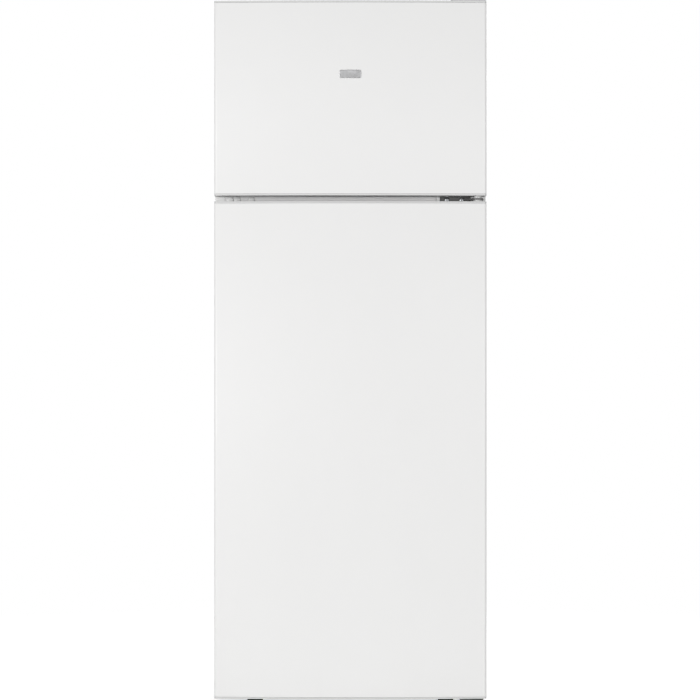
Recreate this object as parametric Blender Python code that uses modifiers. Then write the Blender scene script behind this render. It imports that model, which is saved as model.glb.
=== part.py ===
"""A free-standing top freezer refrigerator: an insulated cabinet with two plain, slightly crowned doors.

Metres, +Z up. The doors face -Y and turn on pins at the right-hand side (+X). The origin is on the floor,
under the middle of the whole object. Each sub-part is its own object.
"""

import math

import bmesh
import bpy
from mathutils import Matrix, Vector

# Driving dimensions: the cabinet
CABINET_WIDTH = 0.550
CABINET_DEPTH = 0.478
FLOOR_GAP = 0.015
SIDE_WALL = 0.045
BACK_WALL = 0.060
TOP_WALL = 0.055
FLOOR_WALL = 0.060
MULLION = 0.062
FLANGE = 0.020
SHEET = 0.0008
LINER_SHEET = 0.0015
PLATE = 0.0025
RAIL_HEIGHT = 0.049
RAIL_DEPTH = 0.018
BOTTOM_RAIL_HEIGHT = 0.035
BOTTOM_RAIL_DEPTH = 0.075
CABINET_EDGE_RADIUS = 0.002

# Driving dimensions: the niche for the compressor
NICHE_DEPTH = 0.165
NICHE_HEIGHT = 0.215
NICHE_WALL = 0.035
TRAY_SHEET = 0.0015
TRAY_LIFT = 0.020
TRAY_WALL = 0.030
TRAY_SIDE_ROOM = 0.040
COMPRESSOR_RADIUS = 0.066
COMPRESSOR_HEIGHT = 0.140
COMPRESSOR_OFFSET = 0.090
DRIP_PAN_HEIGHT = 0.022
TUBE_RADIUS = 0.004
DRAIN_RADIUS = 0.008
DRAIN_WALL = 0.0015
GLAND_RADIUS = 0.011

# Driving dimensions: the doors
DOOR_SIDE_INSET = 0.001
DOOR_FLOOR_GAP = 0.018
DOOR_TOP_GAP = 0.001
FRIDGE_DOOR_HEIGHT = 1.0005
FREEZER_DOOR_HEIGHT = 0.3918
DOOR_SLOT = 0.0117
DOOR_THICKNESS = 0.050
DOOR_CROWN = 0.009
DOOR_CORNER_RADIUS = 0.005
DOOR_FLANGE = 0.010
CAP_RIM = 0.0035
CAP_PLUG = 0.022
GRIP_WIDTH = 0.150
GRIP_DEPTH = 0.014
GRIP_REACH = 0.022
GASKET_THICKNESS = 0.010
GASKET_WIDTH = 0.016
GASKET_INSET = 0.017
GASKET_SLOT_INSET = 0.010
RIDGE_WIDTH = 0.020
RIDGE_HEIGHT = 0.030
RIDGE_CLEARANCE = 0.005
PAN_DEPTH = 0.010
BADGE_SIZE = (0.044, 0.0012, 0.017)
BADGE_BELOW_TOP = 0.148

# Driving dimensions: the hinges
PIN_INSET = 0.017
PIN_SETBACK = 0.0255
PIN_RADIUS = 0.0035
PIN_REACH = 0.014
PIN_CLEARANCE = 0.0005
COLLAR_RADIUS = 0.0065
ARM_THICKNESS = 0.003
ARM_END_RADIUS = 0.012
MIDDLE_PLATE_WIDTH = 0.059
MIDDLE_PLATE_HEIGHT = 0.026
TOP_PLATE_WIDTH = 0.060
TOP_PLATE_DEPTH = 0.070
COVER_WALL = 0.0015
COVER_HEIGHT = 0.011
COVER_MARGIN = 0.004
SCREW_INSET = 0.079
SCREW_SPACING = 0.030
SCREW_RADIUS = 0.0024
SCREW_HEAD_RADIUS = 0.005
SCREW_LENGTH = 0.012
PLUG_RADIUS = 0.0070
PLUG_STEM_RADIUS = 0.003
PLUG_INSETS = (0.0735, 0.045, 0.0305)

# Driving dimensions: the inside
SHELF_THICKNESS = 0.004
SHELF_SIDE_GAP = 0.0015
SHELF_HEIGHTS = (0.500, 0.730)
FREEZER_SHELF_RISE = 0.150
LEDGE_WIDTH = 0.009
LEDGE_HEIGHT = 0.007
BIN_WALL = 0.0022
BIN_CORNER_RADIUS = 0.010
BIN_SIDE_GAP = 0.0005
FRIDGE_BIN_DEPTH = 0.115
FREEZER_BIN_DEPTH = 0.068
# Each bin's rise above its door's lower end, or above the freezer's floor, and its height
FRIDGE_BINS = {
    "bottle_rack": (0.085, 0.125),
    "door_balcony_middle": (0.560, 0.085),
    "door_balcony_upper": (0.830, 0.085),
}
FREEZER_BINS = {
    "freezer_door_rack_lower": (0.035, 0.075),
    "freezer_door_rack_upper": (0.205, 0.075),
}
DRAWER_WALL = 0.0025
DRAWER_HEIGHT = 0.165
DRAWER_SIDE_GAP = 0.010
DRAWER_BACK_GAP = 0.006
DRAWER_FLOOR_GAP = 0.0008
DRAWER_CORNER_RADIUS = 0.014
BIN_TO_SHELF = 0.0115
LAMP_BOX = (0.200, 0.095, 0.036)
LAMP_BOX_SETBACK = 0.150
LAMP_BOX_WALL = 0.002
LAMP_WINDOW = (0.095, 0.004, 0.022)
KNOB_RADIUS = 0.0135
KNOB_DEPTH = 0.013
KNOB_SHAFT_RADIUS = 0.003
PLUNGER_RADIUS = 0.0035
PLUNGER_LENGTH = 0.024
PLUNGER_BELOW_TOP = 0.090

# Driving dimensions: the feet and the rollers
FOOT_RADIUS = 0.016
FOOT_HEIGHT = 0.008
FOOT_STEM_RADIUS = 0.004
FOOT_STEM_TOP = 0.042
FOOT_SIDE_INSET = 0.080
FOOT_SETBACK = 0.040
ROLLER_RADIUS = 0.014
ROLLER_WIDTH = 0.018
ROLLER_BACK_INSET = 0.038
AXLE_RADIUS = 0.003

# Fits and facets
GAP = 0.0003
LOOSE = 0.0005
THROUGH = 0.002
BEYOND = 0.100
ROD_SIDES = 24
SCREW_STEPS = 32
CROWN_STEPS = 28
CORNER_STEPS = 4
ROUND_STEPS = 3

# Levels and planes that follow from them
TOTAL_DEPTH = CABINET_DEPTH + GASKET_THICKNESS + DOOR_THICKNESS + DOOR_CROWN + GAP + BADGE_SIZE[1]
BACK = TOTAL_DEPTH / 2
FACE = BACK - CABINET_DEPTH
DOOR_BACK = FACE - GASKET_THICKNESS
DOOR_EDGE = DOOR_BACK - DOOR_THICKNESS
DOOR_APEX = DOOR_EDGE - DOOR_CROWN
HALF_WIDTH = CABINET_WIDTH / 2
DOOR_HALF = HALF_WIDTH - DOOR_SIDE_INSET
FRIDGE_DOOR = (DOOR_FLOOR_GAP, DOOR_FLOOR_GAP + FRIDGE_DOOR_HEIGHT)
FREEZER_DOOR = (FRIDGE_DOOR[1] + DOOR_SLOT, FRIDGE_DOOR[1] + DOOR_SLOT + FREEZER_DOOR_HEIGHT)
CABINET_TOP = FREEZER_DOOR[1] + DOOR_TOP_GAP
SLOT_MIDDLE = (FRIDGE_DOOR[1] + FREEZER_DOOR[0]) / 2
CROWN_RADIUS = (DOOR_HALF**2 + DOOR_CROWN**2) / (2 * DOOR_CROWN)
CROWN_CENTRE = DOOR_APEX + CROWN_RADIUS
PIN_X = DOOR_HALF - PIN_INSET
PIN_Y = DOOR_EDGE + PIN_SETBACK

# The liners' outer faces: the fridge's has a step over the niche
LINER_HALF = HALF_WIDTH - SIDE_WALL
LINER_BACK = BACK - BACK_WALL
FRIDGE_FLOOR = FLOOR_GAP + FLOOR_WALL
FRIDGE_CEILING = SLOT_MIDDLE - MULLION / 2
FREEZER_FLOOR = SLOT_MIDDLE + MULLION / 2
FREEZER_CEILING = CABINET_TOP - TOP_WALL
NICHE_FRONT = BACK - NICHE_DEPTH
NICHE_TOP = FLOOR_GAP + NICHE_HEIGHT
STEP_FRONT = NICHE_FRONT - NICHE_WALL
STEP_TOP = NICHE_TOP + NICHE_WALL
RAIL = (SLOT_MIDDLE - RAIL_HEIGHT / 2, SLOT_MIDDLE + RAIL_HEIGHT / 2)
BOTTOM_RAIL_TOP = FLOOR_GAP + BOTTOM_RAIL_HEIGHT
RAIL_HALF = HALF_WIDTH - FLANGE - GAP
RIDGE_HALF = LINER_HALF - LINER_SHEET - RIDGE_CLEARANCE
PAN_HALF = RIDGE_HALF - RIDGE_WIDTH
PAN_FLOOR = DOOR_BACK - PAN_DEPTH
SHELF_FRONT = PAN_FLOOR + FRIDGE_BIN_DEPTH + BIN_TO_SHELF
COIL_ROOM = 2 * TUBE_RADIUS + 2 * GAP

# Colour, roughness and metallic value of each finish
FINISHES = {
    "white_enamel": ((0.86, 0.86, 0.85, 1), 0.32, 0.0),
    "white_plastic": ((0.80, 0.80, 0.79, 1), 0.40, 0.0),
    "liner_plastic": ((0.85, 0.86, 0.86, 1), 0.35, 0.0),
    "clear_plastic": ((0.75, 0.80, 0.82, 1), 0.15, 0.0),
    "grey_plastic": ((0.45, 0.45, 0.45, 1), 0.45, 0.0),
    "black_plastic": ((0.03, 0.03, 0.03, 1), 0.50, 0.0),
    "gasket_rubber": ((0.72, 0.72, 0.71, 1), 0.60, 0.0),
    "foam": ((0.85, 0.75, 0.45, 1), 0.90, 0.0),
    "glass": ((0.70, 0.85, 0.80, 1), 0.05, 0.0),
    "galvanised_steel": ((0.55, 0.56, 0.57, 1), 0.40, 1.0),
    "dark_steel": ((0.10, 0.10, 0.10, 1), 0.40, 0.6),
    "black_enamel": ((0.02, 0.02, 0.02, 1), 0.35, 0.0),
    "copper": ((0.70, 0.35, 0.20, 1), 0.30, 1.0),
    "aluminium": ((0.80, 0.80, 0.81, 1), 0.30, 1.0),
}


def clear_scene():
    for obj in list(bpy.data.objects):
        bpy.data.objects.remove(obj, do_unlink=True)


def new_collection(name):
    collection = bpy.data.collections.new(name)
    bpy.context.scene.collection.children.link(collection)
    return collection


clear_scene()
PARTS = new_collection("top_freezer_refrigerator")
TOOLS = new_collection("cutters")


def finish_material(name):
    """The Principled material of a finish, made when it is first asked for."""
    if name in bpy.data.materials:
        return bpy.data.materials[name]
    material = bpy.data.materials.new(name)
    material.use_nodes = True
    shader = material.node_tree.nodes["Principled BSDF"]
    colour, roughness, metallic = FINISHES[name]
    shader.inputs["Base Color"].default_value = colour
    shader.inputs["Roughness"].default_value = roughness
    shader.inputs["Metallic"].default_value = metallic
    return material


def add_part(name, data, place, finish):
    """A sub-part, or with no finish a tool that cuts or adds to one."""
    obj = bpy.data.objects.new(name, data)
    obj.location = place
    if finish:
        data.materials.append(finish_material(finish))
        PARTS.objects.link(obj)
    else:
        TOOLS.objects.link(obj)
        obj.hide_render = True
        obj.display_type = "WIRE"
    return obj


def mesh_from(bm, name):
    mesh = bpy.data.meshes.new(name)
    bm.to_mesh(mesh)
    bm.free()
    return mesh


def box(name, x, y, z, finish=None, corner=0.0):
    """A box between three pairs of limits, its upright edges rounded to the corner radius."""
    low, high = (Vector(pair) for pair in zip(x, y, z))
    bm = bmesh.new()
    bmesh.ops.create_cube(bm, size=1)
    bmesh.ops.scale(bm, vec=high - low, verts=bm.verts)
    if corner > 0:
        upright = [e for e in bm.edges if abs(e.verts[0].co.z - e.verts[1].co.z) > (high - low).z / 2]
        bmesh.ops.bevel(
            bm, geom=upright, offset=corner, segments=ROUND_STEPS, profile=0.5, affect="EDGES"
        )
    return add_part(name, mesh_from(bm, name), (low + high) / 2, finish)


def rod(name, axis, centre, radius, limits, finish=None):
    """A cylinder along X, Y or Z. The centre gives its place on the other two axes."""
    bm = bmesh.new()
    depth = limits[1] - limits[0]
    bmesh.ops.create_cone(
        bm, cap_ends=True, segments=ROD_SIDES, radius1=radius, radius2=radius, depth=depth
    )
    turn = {"X": Matrix.Rotation(math.pi / 2, 3, "Y"), "Y": Matrix.Rotation(math.pi / 2, 3, "X")}
    if axis in turn:
        bmesh.ops.rotate(bm, matrix=turn[axis], verts=bm.verts)
    place = list(centre)
    place.insert("XYZ".index(axis), sum(limits) / 2)
    return add_part(name, mesh_from(bm, name), place, finish)


def combine(owner, tool, operation):
    change = owner.modifiers.new(f"{operation.lower()}_{len(owner.modifiers)}", "BOOLEAN")
    change.operation = operation
    change.object = tool
    change.solver = "EXACT"


def cut(owner, *tools):
    for tool in tools:
        combine(owner, tool, "DIFFERENCE")


def join(owner, *tools):
    for tool in tools:
        combine(owner, tool, "UNION")


def tool_box(owner, x, y, z, corner=0.0):
    return box(f"{owner.name}_tool_{len(owner.modifiers)}", x, y, z, corner=corner)


def cut_box(owner, x, y, z, corner=0.0):
    cut(owner, tool_box(owner, x, y, z, corner))


def join_box(owner, x, y, z, corner=0.0):
    join(owner, tool_box(owner, x, y, z, corner))


def cut_rod(owner, axis, centre, radius, limits):
    cut(owner, rod(f"{owner.name}_tool_{len(owner.modifiers)}", axis, centre, radius, limits))


def join_rod(owner, axis, centre, radius, limits):
    join(owner, rod(f"{owner.name}_tool_{len(owner.modifiers)}", axis, centre, radius, limits))


def turned(name, profile, place, finish, axis="Z", closed=False):
    """A turned shape, from (radius, height) pairs down its outer side. A ring's profile is closed."""
    bm = bmesh.new()
    points = [bm.verts.new((radius, 0, height)) for radius, height in profile]
    for first, second in zip(points, points[1:]):
        bm.edges.new((first, second))
    if closed:
        bm.edges.new((points[-1], points[0]))
    obj = add_part(name, mesh_from(bm, name), place, finish)
    if axis == "X":
        obj.rotation_euler.y = math.pi / 2
    if axis == "-Y":
        obj.rotation_euler.x = math.pi / 2
    screw = obj.modifiers.new("turn", "SCREW")
    screw.axis = "Z"
    screw.steps = screw.render_steps = SCREW_STEPS
    screw.use_merge_vertices = True
    screw.merge_threshold = 1e-5
    screw.use_smooth_shade = True
    return obj


def tube(name, points, radius, finish):
    """A round tube along a polyline, with closed ends."""
    curve = bpy.data.curves.new(name, "CURVE")
    curve.dimensions = "3D"
    curve.bevel_depth = radius
    curve.bevel_resolution = 2
    curve.use_fill_caps = True
    spline = curve.splines.new("POLY")
    spline.points.add(len(points) - 1)
    for point, place in zip(spline.points, points):
        point.co = (*place, 1)
    return add_part(name, curve, (0, 0, 0), finish)


def outline_slab(name, outline, limits, finish=None):
    """A flat closed outline in XY, given a height and made a mesh with welded caps."""
    curve = bpy.data.curves.new(name, "CURVE")
    curve.dimensions = "2D"
    curve.fill_mode = "BOTH"
    curve.extrude = (limits[1] - limits[0]) / 2
    spline = curve.splines.new("POLY")
    spline.points.add(len(outline) - 1)
    for point, (x, y) in zip(spline.points, outline):
        point.co = (x, y, 0, 1)
    spline.use_cyclic_u = True
    flat = bpy.data.objects.new(name + "_outline", curve)
    PARTS.objects.link(flat)
    evaluated = flat.evaluated_get(bpy.context.evaluated_depsgraph_get())
    bm = bmesh.new()
    bm.from_mesh(bpy.data.meshes.new_from_object(evaluated))
    bmesh.ops.remove_doubles(bm, verts=bm.verts, dist=1e-6)
    bmesh.ops.recalc_face_normals(bm, faces=bm.faces)
    bpy.data.objects.remove(flat)
    return add_part(name, mesh_from(bm, name), (0, 0, sum(limits) / 2), finish)


def folded_sheet(name, path, limits, along, thickness, finish):
    """A sheet folded along a path in the plane across X or Z, and drawn out between the limits."""
    lift = {"Z": lambda a, b: (a, b, limits[0]), "X": lambda a, b: (limits[0], a, b)}[along]
    bm = bmesh.new()
    points = [bm.verts.new(lift(a, b)) for a, b in path]
    edges = [bm.edges.new(pair) for pair in zip(points, points[1:])]
    drawn = bmesh.ops.extrude_edge_only(bm, edges=edges)["geom"]
    shift = Vector((0, 0, 0))
    shift["XYZ".index(along)] = limits[1] - limits[0]
    bmesh.ops.translate(bm, vec=shift, verts=[g for g in drawn if isinstance(g, bmesh.types.BMVert)])
    obj = add_part(name, mesh_from(bm, name), (0, 0, 0), finish)
    wall = obj.modifiers.new("wall", "SOLIDIFY")
    wall.thickness = thickness
    wall.offset = 0
    wall.use_even_offset = True
    return obj


def joint_empty(name, place):
    """The point and frame that a moving piece turns or slides on."""
    empty = bpy.data.objects.new(name, None)
    empty.location = place
    PARTS.objects.link(empty)
    return empty


def hang(parent, *pieces):
    for piece in pieces:
        piece.parent = parent
        piece.location = piece.location - parent.location


def either_side(half):
    return (-half, half)


# The doors


def door_outline(inset, back):
    """A door's plan, inset from its outer face: straight sides, round corners and a crowned front."""
    corner = DOOR_CORNER_RADIUS - inset
    centre_x = DOOR_HALF - DOOR_CORNER_RADIUS
    reach = CROWN_RADIUS - DOOR_CORNER_RADIUS
    centre_y = CROWN_CENTRE - math.sqrt(reach**2 - centre_x**2)
    lean = math.asin(centre_x / reach)
    right = [(DOOR_HALF - inset, back)]
    for step in range(CORNER_STEPS + 1):
        angle = -(math.pi / 2 - lean) * step / CORNER_STEPS
        right.append((centre_x + corner * math.cos(angle), centre_y + corner * math.sin(angle)))
    crown = []
    for step in range(1, CROWN_STEPS):
        angle = lean * (1 - 2 * step / CROWN_STEPS)
        radius = CROWN_RADIUS - inset
        crown.append((radius * math.sin(angle), CROWN_CENTRE - radius * math.cos(angle)))
    left = [(-x, y) for x, y in reversed(right)]
    return right + crown + left


def door_skin(name, limits):
    """The painted sheet round a door's front and sides, folded in at the back."""
    middle = door_outline(SHEET / 2, DOOR_BACK - SHEET / 2)
    fold = DOOR_HALF - DOOR_FLANGE
    path = [(fold, DOOR_BACK - SHEET / 2), *middle, (-fold, DOOR_BACK - SHEET / 2)]
    span = (limits[0] + CAP_RIM + GAP, limits[1] - CAP_RIM - GAP)
    return folded_sheet(name, path, span, "Z", SHEET, "white_enamel")


def door_cap(name, limits, top, grip):
    """A moulded door end: a rim on the skin's edge, a plug inside it, the pin's bore and a grip."""
    plug_inset = SHEET + GAP
    plug_back = DOOR_BACK - LINER_SHEET - 2 * GAP
    if top:
        rim = (limits[1] - CAP_RIM, limits[1])
        plug = (limits[1] - CAP_PLUG, limits[1] - CAP_RIM / 2)
        bore = (limits[1] - PIN_REACH - LOOSE, limits[1] + THROUGH)
        pocket = (limits[1] - GRIP_DEPTH, limits[1] + THROUGH)
    else:
        rim = (limits[0], limits[0] + CAP_RIM)
        plug = (limits[0] + CAP_RIM / 2, limits[0] + CAP_PLUG)
        bore = (limits[0] - THROUGH, limits[0] + PIN_REACH + LOOSE)
        pocket = (limits[0] - THROUGH, limits[0] + GRIP_DEPTH)
    cap = outline_slab(name, door_outline(0, DOOR_BACK), rim, "white_plastic")
    join(cap, outline_slab(name + "_plug", door_outline(plug_inset, plug_back), plug))
    cut_rod(cap, "Z", (PIN_X, PIN_Y), PIN_RADIUS + PIN_CLEARANCE, bore)
    if grip:
        start = -DOOR_HALF + 2 * GASKET_INSET
        reach = (DOOR_BACK - GRIP_REACH, DOOR_BACK + THROUGH)
        cut_box(cap, (start, start + GRIP_WIDTH), reach, pocket)
    return cap


def ridge_limits(limits, opening):
    """The height range of a door liner's ridge, clear of the cabinet's opening."""
    margin = LINER_SHEET + RIDGE_CLEARANCE
    return (max(opening[0] + margin, limits[0]), min(opening[1] - margin, limits[1]))


def door_liner(name, limits, opening):
    """The formed inner sheet of a door: a flat edge, a hollow ridge all round and a sunk pan between."""
    plate = (limits[0] + CAP_RIM + GAP, limits[1] - CAP_RIM - GAP)
    ridge = ridge_limits(limits, opening)
    top = DOOR_BACK + RIDGE_HEIGHT
    wall = LINER_SHEET
    edge = DOOR_HALF - DOOR_FLANGE - GAP
    pan = (ridge[0] + RIDGE_WIDTH, ridge[1] - RIDGE_WIDTH)
    liner = box(name, either_side(edge), (DOOR_BACK - wall, DOOR_BACK), plate, "liner_plastic")
    join_box(liner, either_side(RIDGE_HALF), (DOOR_BACK - wall / 2, top), ridge)
    hollow = (ridge[0] + wall, ridge[1] - wall)
    cut_box(liner, either_side(RIDGE_HALF - wall), (DOOR_BACK - BEYOND, top - wall), hollow)
    tub = (pan[0] - wall, pan[1] + wall)
    join_box(liner, either_side(PAN_HALF + wall), (PAN_FLOOR - wall, top - wall / 2), tub)
    cut_box(liner, either_side(PAN_HALF), (PAN_FLOOR, DOOR_BACK + BEYOND), pan)
    return liner


def door_foam(name, limits, opening):
    """The foam that fills a door between its skin, caps and liner, up into the ridge."""
    back = DOOR_BACK - LINER_SHEET - GAP
    span = (limits[0] + CAP_PLUG + GAP, limits[1] - CAP_PLUG - GAP)
    foam = outline_slab(name, door_outline(SHEET + GAP, back), span, "foam")
    ridge = ridge_limits(limits, opening)
    wall = LINER_SHEET + GAP
    inside = (ridge[0] + wall, ridge[1] - wall)
    ridge_y = (back - LINER_SHEET, DOOR_BACK + RIDGE_HEIGHT - wall)
    join_box(foam, either_side(RIDGE_HALF - wall), ridge_y, inside)
    pan = (ridge[0] + RIDGE_WIDTH - wall, ridge[1] - RIDGE_WIDTH + wall)
    cut_box(foam, either_side(PAN_HALF + wall), (PAN_FLOOR - wall, DOOR_BACK + BEYOND), pan)
    return foam


def frame_ring(name, half, limits, width, y, finish):
    """A flat rectangular frame standing in the XZ plane."""
    ring = box(name, either_side(half), y, limits, finish)
    through = (y[0] - THROUGH, y[1] + THROUGH)
    cut_box(ring, either_side(half - width), through, (limits[0] + width, limits[1] - width))
    return ring


def door_gasket(name, limits, low_inset, high_inset):
    span = (limits[0] + low_inset, limits[1] - high_inset)
    depth = (DOOR_BACK + GAP, FACE - GAP)
    return frame_ring(name, DOOR_HALF - GASKET_INSET, span, GASKET_WIDTH, depth, "gasket_rubber")


def door_bin(name, floor, height, depth, finish):
    """An open bin that hangs between the ridges of a door liner."""
    half = PAN_HALF - BIN_SIDE_GAP
    y = (PAN_FLOOR + GAP, PAN_FLOOR + GAP + depth)
    bin_part = box(name, either_side(half), y, (floor, floor + height), finish, BIN_CORNER_RADIUS)
    inside_y = (y[0] + BIN_WALL, y[1] - BIN_WALL)
    inside_z = (floor + BIN_WALL, floor + height + THROUGH)
    cut_box(bin_part, either_side(half - BIN_WALL), inside_y, inside_z, BIN_CORNER_RADIUS - BIN_WALL)
    return bin_part


def fridge_door():
    pin = joint_empty("fridge_door_axis", (PIN_X, PIN_Y, FRIDGE_DOOR[0]))
    opening = (FRIDGE_FLOOR, FRIDGE_CEILING)
    hang(
        pin,
        door_skin("fridge_door_skin", FRIDGE_DOOR),
        door_foam("fridge_door_foam", FRIDGE_DOOR, opening),
        door_liner("fridge_door_liner", FRIDGE_DOOR, opening),
        door_cap("fridge_door_top_cap", FRIDGE_DOOR, top=True, grip=True),
        door_cap("fridge_door_bottom_cap", FRIDGE_DOOR, top=False, grip=False),
        door_gasket("fridge_door_gasket", FRIDGE_DOOR, GASKET_INSET, GASKET_SLOT_INSET),
    )
    for name, (rise, height) in FRIDGE_BINS.items():
        hang(pin, door_bin(name, FRIDGE_DOOR[0] + rise, height, FRIDGE_BIN_DEPTH, "clear_plastic"))


def freezer_door():
    pin = joint_empty("freezer_door_axis", (PIN_X, PIN_Y, FREEZER_DOOR[0]))
    opening = (FREEZER_FLOOR, FREEZER_CEILING)
    hang(
        pin,
        door_skin("freezer_door_skin", FREEZER_DOOR),
        door_foam("freezer_door_foam", FREEZER_DOOR, opening),
        door_liner("freezer_door_liner", FREEZER_DOOR, opening),
        door_cap("freezer_door_top_cap", FREEZER_DOOR, top=True, grip=False),
        door_cap("freezer_door_bottom_cap", FREEZER_DOOR, top=False, grip=True),
        door_gasket("freezer_door_gasket", FREEZER_DOOR, GASKET_SLOT_INSET, GASKET_INSET),
        badge(),
    )
    for name, (rise, height) in FREEZER_BINS.items():
        floor = FREEZER_FLOOR + rise
        hang(pin, door_bin(name, floor, height, FREEZER_BIN_DEPTH, "clear_plastic"))


def badge():
    """A blank oblong plate on the upper door's front."""
    width, thickness, height = BADGE_SIZE
    middle = FREEZER_DOOR[1] - BADGE_BELOW_TOP
    y = (DOOR_APEX - GAP - thickness, DOOR_APEX - GAP)
    z = (middle - height / 2, middle + height / 2)
    return box("badge_plate", either_side(width / 2), y, z, "aluminium")


# The cabinet


def cabinet_shell():
    """One painted sheet folded over both sides and the top, with flanges round the front opening."""
    z = (FLOOR_GAP, CABINET_TOP)
    shell = box("cabinet_shell", either_side(HALF_WIDTH), (FACE, BACK), z, "white_enamel")
    bm = bmesh.new()
    bm.from_mesh(shell.data)
    sides = [e for e in bm.edges if abs(sum(v.co.x for v in e.verts)) > HALF_WIDTH]
    kept = [e for e in sides if all(v.co.y < 0 for v in e.verts) or all(v.co.z > 0 for v in e.verts)]
    bmesh.ops.bevel(
        bm, geom=kept, offset=CABINET_EDGE_RADIUS, segments=ROUND_STEPS, profile=0.5, affect="EDGES"
    )
    bm.to_mesh(shell.data)
    bm.free()
    inside = HALF_WIDTH - SHEET
    below = FLOOR_GAP - BEYOND
    cut_box(shell, either_side(inside), (FACE + SHEET, BACK + BEYOND), (below, CABINET_TOP - SHEET))
    opening = HALF_WIDTH - FLANGE
    cut_box(shell, either_side(opening), (FACE - BEYOND, FACE + THROUGH), (below, CABINET_TOP - FLANGE))
    return shell


def liner_flange(limits):
    """Limits of the flat edge by which a liner meets the shell's flange and the rails."""
    return either_side(RAIL_HALF), (FACE, FACE + LINER_SHEET), limits


def ledges(liner, levels, front, back):
    """Pairs of ledges along a liner's side walls, just under each shelf."""
    inside = LINER_HALF - LINER_SHEET
    for level in levels:
        z = (level - GAP - LEDGE_HEIGHT, level - GAP)
        join_box(liner, (inside - LEDGE_WIDTH, inside + LINER_SHEET / 2), (front, back), z)
        join_box(liner, (-inside - LINER_SHEET / 2, -inside + LEDGE_WIDTH), (front, back), z)


def freezer_liner():
    wall = LINER_SHEET
    span = (FREEZER_FLOOR, FREEZER_CEILING)
    liner = box("freezer_liner", either_side(LINER_HALF), (FACE, LINER_BACK), span, "liner_plastic")
    join_box(liner, *liner_flange((RAIL[1] + GAP, CABINET_TOP - FLANGE - GAP)))
    inside = (span[0] + wall, span[1] - wall)
    cut_box(liner, either_side(LINER_HALF - wall), (FACE - BEYOND, LINER_BACK - wall), inside)
    ledges(liner, [FREEZER_FLOOR + FREEZER_SHELF_RISE], freezer_shelf_front(), LINER_BACK - 2 * wall)
    return liner


def fridge_liner():
    """The lower compartment's tub above the drawer's lid: both sides, the back and the ceiling."""
    wall = LINER_SHEET
    foot = lid_level() + GAP
    span = (foot, FRIDGE_CEILING)
    liner = box("fridge_liner", either_side(LINER_HALF), (FACE, LINER_BACK), span, "liner_plastic")
    join_box(liner, *liner_flange((foot, RAIL[0] - GAP)))
    inside = (foot - BEYOND, FRIDGE_CEILING - wall)
    cut_box(liner, either_side(LINER_HALF - wall), (FACE - BEYOND, LINER_BACK - wall), inside)
    ledges(liner, SHELF_HEIGHTS, SHELF_FRONT, LINER_BACK - 2 * wall)
    cut_rod(liner, "Y", plunger_place(), PLUNGER_RADIUS + LOOSE, (FACE - THROUGH, FACE + 2 * LINER_SHEET))
    return liner


def fridge_liner_base():
    """The tub's foot round the drawer. Its floor steps up over the compressor niche."""
    wall = LINER_SHEET
    half = either_side(LINER_HALF)
    top = lid_level()
    base = box("fridge_liner_base", half, (FACE, STEP_FRONT), (FRIDGE_FLOOR, top), "liner_plastic")
    join_box(base, half, (STEP_FRONT - wall, LINER_BACK), (STEP_TOP, top))
    join_box(base, *liner_flange((BOTTOM_RAIL_TOP + GAP, top)))
    inside = either_side(LINER_HALF - wall)
    above = top + BEYOND
    cut_box(base, inside, (FACE - BEYOND, STEP_FRONT - wall), (FRIDGE_FLOOR + wall, above))
    cut_box(base, inside, (FACE - BEYOND, LINER_BACK - wall), (STEP_TOP + wall, above))
    ledges(base, [lid_level()], SHELF_FRONT, STEP_FRONT - wall / 2)
    cut_rod(base, "Z", drain_place(), DRAIN_RADIUS - DRAIN_WALL, (STEP_TOP - THROUGH, STEP_TOP + THROUGH))
    return base


def cabinet_foam():
    """The foam between the shell and the liners, with pockets for all that is set into it."""
    skin = SHEET + GAP
    front = FACE + LINER_SHEET + GAP
    back = BACK - skin
    half = HALF_WIDTH - skin
    floor = FLOOR_GAP + TRAY_SHEET + GAP
    foam = box("cabinet_foam", either_side(half), (front, back), (floor, CABINET_TOP - skin), "foam")
    room = either_side(LINER_HALF + GAP)
    ahead = front - BEYOND
    cut_box(foam, room, (ahead, LINER_BACK + GAP), (FREEZER_FLOOR - GAP, FREEZER_CEILING + GAP))
    cut_box(foam, room, (ahead, LINER_BACK + GAP), (STEP_TOP - GAP, FRIDGE_CEILING + GAP))
    cut_box(foam, room, (ahead, STEP_FRONT + GAP), (FRIDGE_FLOOR - GAP, STEP_TOP + THROUGH))
    niche = (NICHE_FRONT - TRAY_SHEET - GAP, BACK + BEYOND)
    cut_box(foam, either_side(HALF_WIDTH), niche, (FLOOR_GAP - BEYOND, NICHE_TOP + TRAY_SHEET + GAP))
    wide = either_side(HALF_WIDTH)
    cut_box(foam, wide, (ahead, FACE + RAIL_DEPTH + GAP), (RAIL[0] - GAP, RAIL[1] + GAP))
    rail_room = (FLOOR_GAP - BEYOND, BOTTOM_RAIL_TOP + GAP)
    cut_box(foam, wide, (ahead, FACE + BOTTOM_RAIL_DEPTH + GAP), rail_room)
    cut_box(foam, *evaporator_room())
    cut_box(foam, *freezer_coil_room())
    for side in (-1, 1):
        cut_box(foam, *condenser_room(side))
    cut_box(foam, *condenser_bridge_room())
    cut_rod(foam, "Y", plunger_place(), PLUNGER_RADIUS + LOOSE, (FACE, FACE + PLUNGER_LENGTH))
    cut_rod(foam, "Z", drain_place(), DRAIN_RADIUS + GAP, (NICHE_TOP - THROUGH, STEP_TOP + THROUGH))
    return foam


def back_panel():
    half = HALF_WIDTH - SHEET - GAP
    span = (NICHE_TOP + TRAY_SHEET + GAP, CABINET_TOP - SHEET - GAP)
    return box("back_panel", either_side(half), (BACK - SHEET, BACK), span, "galvanised_steel")


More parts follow.
